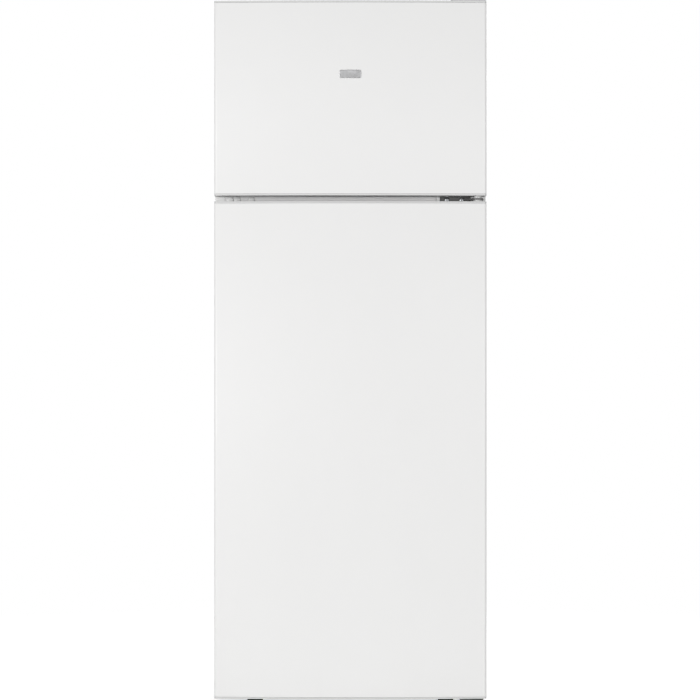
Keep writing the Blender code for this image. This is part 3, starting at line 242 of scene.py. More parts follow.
def painted(name, colour, roughness, peel=900.0, depth=0.00003, shade=0.985):
    """Sprayed enamel: orange peel, a slow wave in the sheet, and a gloss that drifts."""
    gloss = {"Coat_Weight": 0.04, "Coat_Roughness": 0.2, "Specular_IOR_Level": 0.35}
    finish = Finish(name, roughness, **gloss)
    where = finish.place()
    wave = finish.noise(where, 3.0, 3.0)
    peel_height = finish.noise(where, peel, 2.0, 0.45)
    share = finish.band(wave, 0.3, 0.7)
    finish.feed("Base Color", finish.blend(share, tinted(colour, shade), tinted(colour, 1.0)))
    drift = finish.noise(where, 22.0, 4.0)
    finish.feed("Roughness", finish.band(drift, 0.3, 0.7, roughness - 0.04, roughness + 0.05))
    finish.bump(peel_height + wave * 6.0, depth)
    return finish.material


def moulded(name, colour, roughness, grain=1800.0, depth=0.00002, shade=0.97):
    """Moulded plastic: a spark-eroded grain, flow marks and a gloss that drifts."""
    finish = Finish(name, roughness)
    where = finish.place()
    flow = finish.noise(finish.place((1, 1, 3)), 9.0, 4.0)
    finish.feed("Base Color", finish.blend(flow, tinted(colour, shade), tinted(colour, 1.0)))
    drift = finish.noise(where, 60.0, 3.0)
    finish.feed("Roughness", finish.band(drift, 0.3, 0.7, roughness - 0.05, roughness + 0.06))
    finish.bump(finish.cells(where, grain) + finish.noise(where, grain * 0.4), depth)
    return finish.material


def stippled(name, colour, roughness):
    """The cabinet's sheet: enamel over a pebble emboss that hides fingermarks."""
    finish = Finish(name, roughness, Coat_Weight=0.08, Coat_Roughness=0.3)
    where = finish.place()
    pebbles = finish.band(finish.cells(where, 520.0), 0.0, 0.7)
    wave = finish.noise(where, 2.5, 3.0)
    finish.feed("Base Color", finish.blend(wave, tinted(colour, 0.975), tinted(colour, 1.0)))
    finish.feed("Roughness", finish.band(pebbles, 0.0, 1.0, roughness + 0.08, roughness - 0.04))
    finish.bump(pebbles + wave * 3.0, 0.00008)
    return finish.material


ENAMEL = painted("door_enamel", (0.875, 0.873, 0.869), 0.36, depth=0.000004)
SHELL_ENAMEL = stippled("cabinet_enamel", (0.83, 0.83, 0.825), 0.38)
RAIL_ENAMEL = painted("rail_enamel", (0.82, 0.815, 0.815), 0.36, peel=700.0, depth=0.00001)
# The caps' plastic is a darker grey than white: painted shade, standing for the shadow on the cap rims in the
# slot between the doors. The hinge cover and its cap share this grey.
SHADE_GREY_CAP_PLASTIC = moulded("cap_plastic_shade_grey", (0.69, 0.69, 0.688), 0.40)
LINER_PLASTIC = moulded("formed_liner", (0.86, 0.87, 0.87), 0.42, grain=160.0, depth=0.000008, shade=0.985)
TRIM_PLASTIC = moulded("trim_plastic", (0.82, 0.82, 0.815), 0.34)
GREY_PLASTIC = moulded("grey_plastic", (0.36, 0.36, 0.365), 0.46)
BLACK_PLASTIC = moulded("black_plastic", (0.022, 0.022, 0.023), 0.48, shade=0.75)
BLACK_ENAMEL = painted("compressor_enamel", (0.016, 0.016, 0.017), 0.30, peel=500.0, depth=0.00005, shade=0.6)
HINGE_COAT = painted("hinge_coat", (0.16, 0.16, 0.158), 0.40, peel=1400.0, depth=0.00003, shade=0.85)
GASKET = moulded("gasket_vinyl", (0.74, 0.74, 0.735), 0.55, grain=900.0, depth=0.00004, shade=0.93)

# %% [markdown]
# Clear polystyrene bins and glass shelves let light straight through where they are met face on, and much less
# at a glance, so rims, corners and flutes show. The lamp's window is the same plastic with a frosted face.

# %% Clear finishes


def clear(name, colour, roughness, scuff, face_on, edge_on):
    """Clear sheet. It stops one share of the light where it is met face on, and another at a glance."""
    finish = Finish(name, roughness, IOR=1.49)
    where = finish.place()
    cloud = finish.noise(where, 30.0, 5.0, 0.6)
    finish.feed("Base Color", finish.blend(cloud, tinted(colour, 0.97), tinted(colour, 1.0)))
    finish.feed("Roughness", finish.band(cloud, 0.45, 0.8, roughness, roughness + scuff))
    glance = finish.node("ShaderNodeLayerWeight", {}, {"Blend": 0.35}, "Facing")
    finish.feed("Alpha", finish.band(glance, 0.0, 0.9, face_on, edge_on))
    finish.bump(finish.noise(where, 240.0, 2.0), 0.00001)
    return finish.material


CLEAR_PLASTIC = clear("clear_bin", (0.84, 0.88, 0.90), 0.08, 0.16, 0.18, 0.85)
SHELF_GLASS = clear("shelf_glass", (0.78, 0.90, 0.87), 0.04, 0.05, 0.20, 0.60)
FROSTED = clear("lamp_window", (0.95, 0.95, 0.92), 0.42, 0.15, 0.75, 0.95)

# %% [markdown]
# Bare metals. Galvanised sheet freezes into large flat crystals, each with its own gloss, which Voronoi cells
# give. Drawn copper and a brushed plate have scratches all one way, so their noise is drawn out along one axis.

# %% Bare metals and foam


def galvanised(name, colour, roughness):
    finish = Finish(name, roughness, 1.0)
    where = finish.place()
    crystal = finish.cells(where, 130.0, "Color")
    spangle = finish.band(finish.node("ShaderNodeSeparateColor", {}, {"Color": crystal}), 0.0, 1.0)
    fine = finish.noise(where, 320.0, 3.0)
    finish.feed("Base Color", finish.blend(spangle, tinted(colour, 0.93), tinted(colour, 1.05)))
    finish.feed("Roughness", spangle * 0.10 + fine * 0.08 + (roughness - 0.1))
    finish.bump(spangle * 0.3 + fine, 0.00003)
    return finish.material


def drawn_metal(name, colour, roughness, stretch, tarnish):
    finish = Finish(name, roughness, 1.0)
    lines = finish.noise(finish.place(stretch), 900.0, 3.0, 0.6)
    age = finish.band(finish.noise(finish.place(), 45.0, 5.0, 0.6), 0.42, 0.75)
    bright = finish.blend(lines, tinted(colour, 0.9), tinted(colour, 1.06))
    finish.feed("Base Color", finish.blend(age * tarnish, bright, tinted(colour, 0.42)))
    finish.feed("Roughness", finish.band(age, 0.0, 1.0, roughness, roughness + 0.18))
    finish.bump(lines, 0.00002)
    return finish.material


def cut_foam(name):
    finish = Finish(name, 0.9)
    where = finish.place()
    bubbles = finish.cells(where, 900.0)
    finish.feed("Base Color", finish.blend(bubbles, (0.55, 0.44, 0.20, 1), (0.80, 0.70, 0.42, 1)))
    finish.feed("Roughness", finish.band(bubbles, 0.0, 1.0, 0.8, 0.95))
    finish.bump(bubbles, 0.0004)
    return finish.material


GALVANISED = galvanised("galvanised_sheet", (0.56, 0.57, 0.58), 0.42)
ZINC = drawn_metal("zinc_plated", (0.62, 0.63, 0.65), 0.30, (1, 1, 0.1), 0.3)
COPPER = drawn_metal("drawn_copper", (0.72, 0.36, 0.22), 0.28, (0.15, 1, 1), 0.8)
ALUMINIUM = drawn_metal("brushed_aluminium", (0.80, 0.80, 0.81), 0.26, (0.04, 1, 1), 0.1)
FOAM = cut_foam("cut_foam")
print(len(bpy.data.materials), "finishes")

# %% [markdown]
# ## Mesh helpers
# Nearly everything in a refrigerator is a box with rounded corners whose size changes step by step: a formed
# liner, a bin, a drawer, a seal. So the main helper is a loft. It draws rounded rectangles at a row of levels
# and bridges each to the next. The other helpers make soft-edged blocks, rods and turned shapes.

# %% Blocks and bevels
AXES = {
    "X": Matrix.Rotation(math.pi / 2, 4, "Y"),
    "Y": Matrix.Rotation(-math.pi / 2, 4, "X"),
    "-Y": Matrix.Rotation(math.pi / 2, 4, "X"),
    "Z": Matrix.Identity(4),
    "-Z": Matrix.Rotation(math.pi, 4, "X"),
}
SHARP = math.radians(34)


def edges_of(verts):
    """The edges that have both ends among these vertices, in a fixed order."""
    kept = set(verts)
    found = dict.fromkeys(edge for vert in verts for edge in vert.link_edges)
    return [edge for edge in found if kept.issuperset(edge.verts)]


def bevel(bm, geometry, radius, segments=3, affect="EDGES"):
    bmesh.ops.bevel(
        bm, geom=geometry, offset=radius, offset_type="OFFSET", affect=affect,
        segments=segments, profile=0.5, material=-1, clamp_overlap=True,
    )


def block(bm, low, high, radius=0.0, segments=2):
    """A box between two corners, with its edges rounded where a radius is given."""
    low, high = Vector(low), Vector(high)
    verts = bmesh.ops.create_cube(bm, size=1.0)["verts"]
    bmesh.ops.scale(bm, vec=high - low, verts=verts)
    bmesh.ops.translate(bm, vec=(low + high) / 2, verts=verts)
    if radius:
        bevel(bm, edges_of(verts), radius, segments)


def rod(bm, foot, axis, radius, length, sides=32, chamfer=0.0):
    """A round bar from its foot along an axis. Its ends can be chamfered."""
    place = Matrix.Translation(foot) @ AXES[axis] @ Matrix.Translation((0, 0, length / 2))
    made = bmesh.ops.create_cone(
        bm, cap_ends=True, segments=sides, radius1=radius, radius2=radius, depth=length, matrix=place
    )["verts"]
    if chamfer:
        rims = [e for e in edges_of(made) if any(len(f.verts) == sides for f in e.link_faces)]
        bevel(bm, rims, chamfer, 2)


def turned(bm, profile, foot, axis, steps=48, closed=False):
    """A shape of revolution from (radius, height) points. A closed profile makes a ring."""
    before = set(bm.verts)
    verts = [bm.verts.new((radius, 0, height)) for radius, height in profile]
    pairs = list(zip(verts, verts[1:])) + ([(verts[-1], verts[0])] if closed else [])
    edges = [bm.edges.new(pair) for pair in pairs]
    bmesh.ops.spin(
        bm, geom=verts + edges, axis=(0, 0, 1), cent=(0, 0, 0), angle=math.tau, steps=steps, use_merge=True
    )
    made = [v for v in bm.verts if v not in before]
    bmesh.ops.remove_doubles(bm, verts=made, dist=0.000001)
    made = [v for v in bm.verts if v not in before]
    bmesh.ops.recalc_face_normals(bm, faces=list(dict.fromkeys(f for v in made for f in v.link_faces)))
    bmesh.ops.transform(bm, matrix=Matrix.Translation(foot) @ AXES[axis], verts=made)


# %% Loops and lofts
HAIR = 0.00002


def loop(bm, low, high, radius, level, normal, steps):
    """A rounded rectangle, standing across Y or lying across Z. It returns the edges."""
    before = set(bm.faces)
    corners = [(low[0], low[1]), (high[0], low[1]), (high[0], high[1]), (low[0], high[1])]
    if normal == "Y":
        verts = [bm.verts.new((a, level, b)) for a, b in corners]
    else:
        verts = [bm.verts.new((a, b, level)) for a, b in corners]
    bm.faces.new(verts)
    bevel(bm, verts, max(radius, 0.0002), steps, "VERTICES")
    face = next(f for f in bm.faces if f not in before)
    edges = list(face.edges)
    bmesh.ops.delete(bm, geom=[face], context="FACES_ONLY")
    return edges


def loft(bm, rows, normal, ring=False, steps=5):
    """Rounded rectangles, each (low, high, radius, level), bridged in turn and closed at the ends.

    Two loops in one plane have no direction from one to the other, so the second is moved by a hair.
    """
    levels = [level for *_, level in rows]
    for number in range(1, len(levels)):
        if abs(levels[number] - levels[number - 1]) < HAIR:
            levels[number] = levels[number - 1] + HAIR
    loops = [loop(bm, *shape, level, normal, steps) for (*shape, _), level in zip(rows, levels)]
    pairs = list(zip(loops, loops[1:])) + ([(loops[-1], loops[0])] if ring else [])
    made = []
    for first, second in pairs:
        made += bmesh.ops.bridge_loops(bm, edges=first + second)["faces"]
    if not ring:
        for edges in (loops[0], loops[-1]):
            made += bmesh.ops.edgeloop_fill(bm, edges=edges)["faces"]
    bmesh.ops.recalc_face_normals(bm, faces=made)


def quarter(radius, steps=4):
    """(inward, along) steps of a quarter round, from a wall in to a floor."""
    turns = [math.pi / 2 * step / steps for step in range(steps + 1)]
    return [(radius * (1 - math.cos(turn)), radius * (1 - math.sin(turn))) for turn in turns]


def inset(low, high, amount):
    """A rectangle drawn in on all sides."""
    return (low[0] + amount, low[1] + amount), (high[0] - amount, high[1] - amount)


def row(low, high, amount, corner, level):
    """One level of a loft: a rectangle drawn in by an amount."""
    return (*inset(low, high, amount), max(corner, 0.001), level)


def box_of(node):
    """A node's low and high corners and its middle."""
    low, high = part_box(node)
    return low, high, (low + high) / 2


# %% Finishing a piece


def piece(name, bm, body, finish, stands_for=()):
    """Makes the object with its finish, marks its creases, gives it its body, and hides the nodes it stands
    for.
    """
    for face in bm.faces:
        face.smooth = True
    for edge in bm.edges:
        edge.smooth = edge.calc_face_angle(0.0) < SHARP
    mesh = bpy.data.meshes.new(name)
    bm.to_mesh(mesh)
    bm.free()
    mesh.materials.append(finish)
    obj = bpy.data.objects.new(name, mesh)
    bpy.context.scene.collection.objects.link(obj)
    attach(obj, body)
    if stands_for:
        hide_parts(*stands_for)
    print(name, len(mesh.polygons), "faces")
    return obj


def carved(bm, cutter):
    """The first mesh with the second cut out of it."""
    objects = []
    for part in (bm, cutter):
        mesh = bpy.data.meshes.new("carving")
        part.to_mesh(mesh)
        part.free()
        objects.append(bpy.data.objects.new("carving", mesh))
        bpy.context.scene.collection.objects.link(objects[-1])
    cut = objects[0].modifiers.new("cut", "BOOLEAN")
    cut.object = objects[1]
    cut.solver = "EXACT"
    result = bmesh.new()
    result.from_mesh(objects[0].evaluated_get(bpy.context.evaluated_depsgraph_get()).to_mesh())
    for obj in objects:
        bpy.data.objects.remove(obj)
    return result


# %% [markdown]
# ## Carried-over nodes
# Folded plates, caps, rails and foam already have their right shape. They keep it, and get two things that
# CAD leaves out: a finish, and a small round on each edge, without which an edge never catches the light.
# The CAD mesh is triangles, so it is welded and its flat faces joined before the bevel.

# %% Finishes and edges of the carried-over nodes


def dress(node, finish, edge):
    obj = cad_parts[node]
    obj.data.materials.clear()
    obj.data.materials.append(finish)
    weld = obj.modifiers.new("weld", "WELD")
    weld.merge_threshold = 0.00002
    flat = obj.modifiers.new("flats", "DECIMATE")
    flat.decimate_type = "DISSOLVE"
    flat.angle_limit = math.radians(1)
    if edge:
        soft = obj.modifiers.new("edges", "BEVEL")
        soft.width = edge
        soft.segments = 2
        soft.limit_method = "ANGLE"
        soft.angle_limit = SHARP
    even = obj.modifiers.new("shading", "WEIGHTED_NORMAL")
    even.keep_sharp = False
    even.weight = 80


DRESSED = {
    "cabinet_shell": (SHELL_ENAMEL, 0.0003),
    "mullion_rail": (RAIL_ENAMEL, 0.0005),
    "bottom_rail": (RAIL_ENAMEL, 0.0005),
    # The end caps take the shade-grey plastic: painted shade for the slot between the doors.
    "fridge_door_top_cap": (SHADE_GREY_CAP_PLASTIC, 0.0006),
    "fridge_door_bottom_cap": (SHADE_GREY_CAP_PLASTIC, 0.0006),
    "freezer_door_top_cap": (SHADE_GREY_CAP_PLASTIC, 0.0006),
    "freezer_door_bottom_cap": (SHADE_GREY_CAP_PLASTIC, 0.0006),
    "top_hinge_cover": (SHADE_GREY_CAP_PLASTIC, 0.0006),
    "top_hinge": (ZINC, 0.0004),
    "bottom_hinge": (HINGE_COAT, 0.0005),
    "middle_hinge": (HINGE_COAT, 0.0005),
    "niche_panel": (GALVANISED, 0.0003),
    "compressor_tray": (GALVANISED, 0.0003),
    "condenser_coil": (ZINC, 0.0),
    "fridge_evaporator": (ALUMINIUM, 0.0),
    "freezer_evaporator": (ALUMINIUM, 0.0),
    "cabinet_foam": (FOAM, 0.0),
    "fridge_door_foam": (FOAM, 0.007),
    "freezer_door_foam": (FOAM, 0.007),
    "drain_tube": (GREY_PLASTIC, 0.0),
    "cord_gland": (BLACK_PLASTIC, 0.0005),
    "suction_tube": (COPPER, 0.0),
    "discharge_tube": (COPPER, 0.0),
    "filter_drier": (COPPER, 0.0008),
    "light_switch_plunger": (TRIM_PLASTIC, 0.0012),
}
for node, (finish, edge) in DRESSED.items():
    dress(node, finish, edge)
print(len(DRESSED), "nodes dressed")

# %% [markdown]
# ## The door fronts
# Each front is one painted sheet, bowed 9 mm over its width, bent round the sides at a 5 mm radius and folded
# in at the back. Its plan is drawn as one face: a point is spun about the far centre of the bow, the corners
# are bevelled, and the face is drawn up to the door's height. What lies behind the folds is then opened, and
# the sheet gets its thickness. The ends turn in slightly, which makes the fine seam against the moulded caps.

# %% Door fronts
DOOR_CORNER = 0.005
DOOR_SHEET = 0.0008
DOOR_FOLD = 0.010
FOLD_CORNER = 0.0012
END_TURN = 0.0007
BOW_STEPS = 72


def door_front(node, body):
    low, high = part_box(node)
    radius = (high.x**2 + CROWN**2) / (2 * CROWN)
    lean = math.asin(high.x / radius)
    bm = bmesh.new()
    corner = bm.verts.new((-high.x, low.y + CROWN, low.z))
    bmesh.ops.spin(
        bm, geom=[corner], axis=(0, 0, 1), cent=(0, low.y + radius, 0), angle=2 * lean, steps=BOW_STEPS
    )
    bow = sorted(bm.verts, key=lambda v: v.co.x)
    back = [bm.verts.new((side * high.x, high.y, low.z)) for side in (1, -1)]
    bm.faces.new(bow + back)
    bevel(bm, [bow[0], bow[-1]], DOOR_CORNER, 8, "VERTICES")
    bevel(bm, back, FOLD_CORNER, 3, "VERTICES")
    drawn = bmesh.ops.extrude_face_region(bm, geom=bm.faces[:])["geom"]
    top = [g for g in drawn if isinstance(g, bmesh.types.BMVert)]
    bmesh.ops.translate(bm, vec=(0, 0, high.z - low.z), verts=top)
    bmesh.ops.recalc_face_normals(bm, faces=bm.faces)
    ends = [e for e in bm.edges if abs(e.verts[0].co.z - e.verts[1].co.z) < 1e-6]
    bevel(bm, ends, END_TURN, 3)
    for side in (-1, 1):
        everything = bm.verts[:] + bm.edges[:] + bm.faces[:]
        bmesh.ops.bisect_plane(
            bm, geom=everything, plane_co=(side * (high.x - DOOR_FOLD), 0, 0), plane_no=(1, 0, 0)
        )
    inner = high.x - DOOR_FOLD
    hidden = [
        f for f in bm.faces
        if abs(f.normal.z) > 0.95 or (f.normal.y > 0.5 and abs(f.calc_center_median().x) < inner)
    ]
    bmesh.ops.delete(bm, geom=hidden, context="FACES")
    obj = piece(node.replace("skin", "front"), bm, body, ENAMEL, [node])
    wall = obj.modifiers.new("sheet", "SOLIDIFY")
    wall.thickness = DOOR_SHEET
    wall.offset = -1
    return obj


door_front("fridge_door_skin", "fridge_door")
door_front("freezer_door_skin", "freezer_door")

# %% [markdown]
# ## The badge
# A small oblong plate with rounded corners sits on the upper door. It is left blank: a raised border and a
# brushed field, which catch the light as the real kind of plate does.

# %% Badge plate
low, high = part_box("badge_plate")
flat_low, flat_high = (low.x, low.z), (high.x, high.z)
rows = [(*inset(flat_low, flat_high, 0.0), 0.004, high.y)]
for amount, depth in ((0.0, 0.8), (0.0003, 0.3), (0.0010, 0.0), (0.0016, 0.3), (0.0018, 0.45)):
    rows.append((*inset(flat_low, flat_high, amount), 0.004 - amount, low.y + depth * (high.y - low.y)))
bm = bmesh.new()
loft(bm, rows, "Y", steps=6)
piece("badge", bm, "freezer_door", ALUMINIUM, ["badge_plate"])

# %% [markdown]
# ## Door seals
# A seal is a soft vinyl extrusion: a flat foot in the liner, a bellows that lets it stretch, and a square
# pocket that holds the magnet. Drawn as a ring of rectangles it needs only its section: how far in from the
# outer edge each fold lies, and how far from the door.

# %% Seals
SEAL_SECTION = (
    (0.0030, 0.00), (0.0004, 0.14), (0.0026, 0.32), (0.0002, 0.50), (0.0000, 0.66), (0.0000, 0.94),
    (0.0006, 1.00), (0.0060, 1.00), (0.0066, 0.93), (0.0094, 0.93), (0.0100, 1.00), (0.0154, 1.00),
    (0.0160, 0.94), (0.0160, 0.66), (0.0126, 0.50), (0.0156, 0.32), (0.0124, 0.14), (0.0140, 0.00),
)


def seal(node, body):
    low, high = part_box(node)
    flat_low, flat_high = (low.x, low.z), (high.x, high.z)
    rows = []
    for inward, share in SEAL_SECTION:
        level = low.y + share * (high.y - low.y)
        rows.append((*inset(flat_low, flat_high, inward), 0.0008, level))
    bm = bmesh.new()
    loft(bm, rows, "Y", ring=True, steps=2)
    piece(node.replace("gasket", "seal"), bm, body, GASKET, [node])


seal("fridge_door_gasket", "fridge_door")
seal("freezer_door_gasket", "freezer_door")

# %% [markdown]
# ## Door liners
# The inside of a door is one vacuum-formed sheet. It has a flat edge under the seal, a hollow ridge that fits
# into the cabinet, and a sunk pan between. Forming can't make a sharp corner, so every change of direction is a
# quarter round. The wall's front and back are one closed loft.

# %% Door liners
FORMED = 0.0012
RIDGE_CORNER = 0.009
RIDGE_ROUND = 0.006
RIDGE_WIDTH = 0.020
RIDGE_HALF = 0.2235
RIDGE_GAP = 0.0065
PAN_SUNK = 0.010
PAN_ROUND = 0.006
PAN_CORNER = 0.007


def ridge_rows(edge, ridge, face, top, pan, sheet):
    """Rows over one side of the sheet: 0 for the side that shows, and its thickness for the other."""
    rows = [(*edge, 0.003, face - sheet)]
    foot = 0.003
    for step in range(4):
        turn = math.pi / 2 * step / 3
        out = foot * (1 - math.sin(turn)) - sheet
        rows.append(row(*ridge, -out, RIDGE_CORNER, face - sheet + foot * (1 - math.cos(turn))))
    for inward, along in quarter(RIDGE_ROUND, 5):
        rows.append(row(*ridge, sheet + inward, RIDGE_CORNER - inward / 2, top - sheet - along))
    inside = RIDGE_WIDTH - sheet
    for inward, along in reversed(quarter(RIDGE_ROUND, 5)):
        rows.append(row(*ridge, inside - inward, PAN_CORNER, top - sheet - along))
    for inward, along in quarter(PAN_ROUND, 5):
        rows.append(row(*ridge, inside + inward, PAN_CORNER - inward / 3, pan - sheet + along))
    return rows


def door_liner(node, opening):
    low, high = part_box(node)
    edge = (low.x, low.z), (high.x, high.z)
    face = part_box(node.replace("liner", "skin"))[1].y
    ridge = (-RIDGE_HALF, opening[0] + RIDGE_GAP), (RIDGE_HALF, opening[1] - RIDGE_GAP)
    shown = ridge_rows(edge, ridge, face, high.y, face - PAN_SUNK, 0.0)
    hidden = ridge_rows(edge, ridge, face, high.y, face - PAN_SUNK, FORMED)
    bm = bmesh.new()
    loft(bm, list(reversed(hidden)) + shown, "Y", steps=6)
    return bm


FRIDGE_OPENING = (0.075, 0.99335)
FREEZER_OPENING = (1.05535, 1.368)
BIN_HALF = 0.2035
LUG = Vector((0.014, 0.060, 0.007))


def lugs(bm, nodes):
    """The lugs under each bin, one at either end."""
    for node in nodes:
        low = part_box(node)[0]
        for near in (BIN_HALF + 0.002 - LUG.x, -BIN_HALF - 0.002):
            corner = Vector((near, low.y + 0.020, low.z - 0.0006 - LUG.z))
            block(bm, corner, corner + LUG, 0.002)


FRIDGE_BINS = ("bottle_rack", "door_balcony_middle", "door_balcony_upper")
FREEZER_BINS = ("freezer_door_rack_lower", "freezer_door_rack_upper")
bm = door_liner("fridge_door_liner", FRIDGE_OPENING)
lugs(bm, FRIDGE_BINS)
piece("fridge_door_inner", bm, "fridge_door", LINER_PLASTIC, ["fridge_door_liner"])
bm = door_liner("freezer_door_liner", FREEZER_OPENING)
lugs(bm, FREEZER_BINS)
piece("freezer_door_inner", bm, "freezer_door", LINER_PLASTIC, ["freezer_door_liner"])

# %% [markdown]
# ## Cabinet liners
# Each compartment is a deep tub whose mouth turns out into a flat edge. The lower tub's floor steps up over
# the compressor. The loft runs from the mouth to the back, and only the lower side of its rectangle moves at
# the step. Side ledges for the shelves, flutes on the cold back wall and ribs on the freezer's floor are soft
# blocks set into the walls.

# %% Compartment tubs
TUB_CORNER = 0.011
TUB_HALF = 0.2285
TUB_BACK = 0.21275
MOUTH_ROUND = 0.0035
STEP_FACE = 0.07275
STEP_TOP = 0.2665
FLUTES = 11
FLUTE_SPAN = 0.34
FLUTE_LEVELS = ((0.760, 0.940), (0.530, 0.712), (0.300, 0.482))


def tub_rows(edge, floor, ceiling, face, step_top, sheet):
    """Rows over one side of a tub's wall, from its flat edge to its back."""
    half = TUB_HALF + sheet
    back = TUB_BACK + sheet
    low, high = (-half, floor - sheet), (half, ceiling + sheet)
    corner = TUB_CORNER + sheet
    rows = [(*edge, 0.002, face + sheet)]
    for step in range(5):
        turn = math.pi / 8 * step
        level = face + sheet + MOUTH_ROUND * (1 - math.cos(turn))
        rows.append(row(low, high, MOUTH_ROUND * (math.sin(turn) - 1), corner, level))
    if step_top:
        face_y = STEP_FACE + sheet
        for inward, along in quarter(0.008, 4):
            rows.append(((-half, low[1] + inward), high, corner, face_y - 0.001 - along))
        top = step_top - sheet
        for step in range(5):
            turn = math.pi / 8 * step
            rise = top - 0.006 + 0.006 * math.sin(turn)
            rows.append(((-half, rise), high, corner, face_y + 0.006 * (1 - math.cos(turn))))
        low = (-half, top)
    for inward, along in quarter(0.012, 5):
        rows.append(row(low, high, inward, corner - inward / 2, back - along))
    return rows


def tub(edge, floor, ceiling, face, step_top=None):
    shown = tub_rows(edge, floor, ceiling, face, step_top, 0.0)
    hidden = tub_rows(edge, floor, ceiling, face, step_top, FORMED)
    bm = bmesh.new()
    loft(bm, list(reversed(hidden)) + shown, "Y", steps=6)
    return bm


def side_ledges(bm, level, front, back):
    for side in (-1, 1):
        near, far = sorted((side * (TUB_HALF - 0.009), side * (TUB_HALF + 0.0006)))
        block(bm, (near, front + 0.014, level - 0.0073), (far, back, level - 0.0003), 0.0025, 3)


low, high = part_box("fridge_liner")
base_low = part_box("fridge_liner_base")[0]
bm = tub(((low.x, base_low.z), (high.x, high.z)), 0.0765, 0.99185, low.y, STEP_TOP)
SHELF_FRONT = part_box("glass_shelf_lower")[0].y
for shelf in ("glass_shelf_lower", "glass_shelf_upper"):
    side_ledges(bm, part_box(shelf)[0].z, SHELF_FRONT, TUB_BACK - 0.002)
side_ledges(bm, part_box("crisper_lid")[0].z, SHELF_FRONT, STEP_FACE + 0.001)
for number in range(FLUTES):
    x = FLUTE_SPAN * (number / (FLUTES - 1) - 0.5)
    for foot, top in FLUTE_LEVELS:
        block(bm, (x - 0.006, TUB_BACK - 0.0016, foot), (x + 0.006, TUB_BACK + 0.0006, top), 0.0014, 2)
piece("fridge_tub", bm, "cabinet", LINER_PLASTIC, ["fridge_liner", "fridge_liner_base"])

low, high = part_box("freezer_liner")
bm = tub(((low.x, low.z), (high.x, high.z)), 1.05685, 1.3665, low.y)
side_ledges(bm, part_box("freezer_shelf")[0].z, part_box("freezer_shelf")[0].y, TUB_BACK - 0.002)
FLOOR_RIBS = 9
for number in range(FLOOR_RIBS):
    x = 0.38 * (number / (FLOOR_RIBS - 1) - 0.5)
    block(bm, (x - 0.007, -0.150, 1.0563), (x + 0.007, 0.185, 1.0581), 0.0011, 2)
piece("freezer_tub", bm, "cabinet", LINER_PLASTIC, ["freezer_liner"])

# %% [markdown]
# ## Bins and the drawer
# Moulded clear bins have draft, a thick rolled rim, a foot, and shallow flutes on the front that stiffen the
# long wall. The same loft makes them all: down the outside, under the foot and back up the inside.

# %% Bins


def open_box(low, high, wall, corner, rim, foot=0.0012):
    """A moulded open box as one closed loft, from the inside floor over the rim to the underside."""
    plan = (low.x, low.y), (high.x, high.y)
    draft = 0.0008
    inner = wall + draft
    rows = []
    for inward, along in reversed(quarter(0.004, 4)):
        rows.append(row(*plan, inner + inward, corner - inner, low.z + foot + wall + along))
    rim_rows = (
        (wall, corner - wall, 0.010), (rim, corner - rim, 0.007), (rim, corner - rim, 0.0008),
        (rim - 0.0008, corner - rim, 0.0), (0.0008, corner, 0.0), (0.0, corner, 0.0008), (0.0, corner, 0.008),
        (0.0004, corner, 0.0088),
    )
    rows += [row(*plan, inward, turn, high.z - down) for inward, turn, down in rim_rows]
    for inward, along in quarter(0.0036, 4):
        rows.append(row(*plan, draft + inward, corner - inward / 2, low.z + foot + along))
    for inward, up in ((0.012, foot), (0.0125, 0.0), (0.016, 0.0), (0.0165, foot)):
        rows.append(row(*plan, inward, corner, low.z + up))
    bm = bmesh.new()
    loft(bm, rows, "Z", steps=5)
    return bm


FLUTE_MARGIN = 0.03


def front_flutes(bm, low, high, count, face, rise):
    """Upright flutes on a wall that faces along Y."""
    span = high.x - low.x - 2 * FLUTE_MARGIN
    for number in range(count):
        x = low.x + FLUTE_MARGIN + span * number / (count - 1)
        near, far = (x - 0.004, face - rise, low.z + 0.016), (x + 0.004, face + rise, high.z - 0.018)
        block(bm, near, far, rise * 0.8, 2)


for node in FRIDGE_BINS + FREEZER_BINS:
    low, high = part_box(node)
    bm = open_box(low, high, 0.0022, 0.010, 0.0036)
    front_flutes(bm, low, high, 15, high.y - 0.0016, 0.0010)
    body = "fridge_door" if node in FRIDGE_BINS else "freezer_door"
    piece(node + "_moulding", bm, body, CLEAR_PLASTIC, [node])

low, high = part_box("crisper_drawer")
bm = open_box(low, high, 0.0025, 0.014, 0.0040)
front_flutes(bm, low, high, 23, low.y + 0.0018, 0.0012)
block(bm, (-0.090, low.y + 0.0030, high.z - 0.030), (0.090, low.y + 0.0150, high.z - 0.026), 0.0018, 3)
block(bm, (-0.090, low.y + 0.0120, high.z - 0.030), (0.090, low.y + 0.0150, high.z - 0.002), 0.0014, 3)
piece("crisper_moulding", bm, "crisper", CLEAR_PLASTIC, ["crisper_drawer"])

# %% [markdown]
# ## Shelves
# A shelf is toughened glass with ground edges, held in a moulded trim at the front and a stop at the back that
# keeps food off the cold wall. The glass is its own piece, so each keeps its own finish.

# %% Shelves


TRIM_HEIGHT = 0.0030


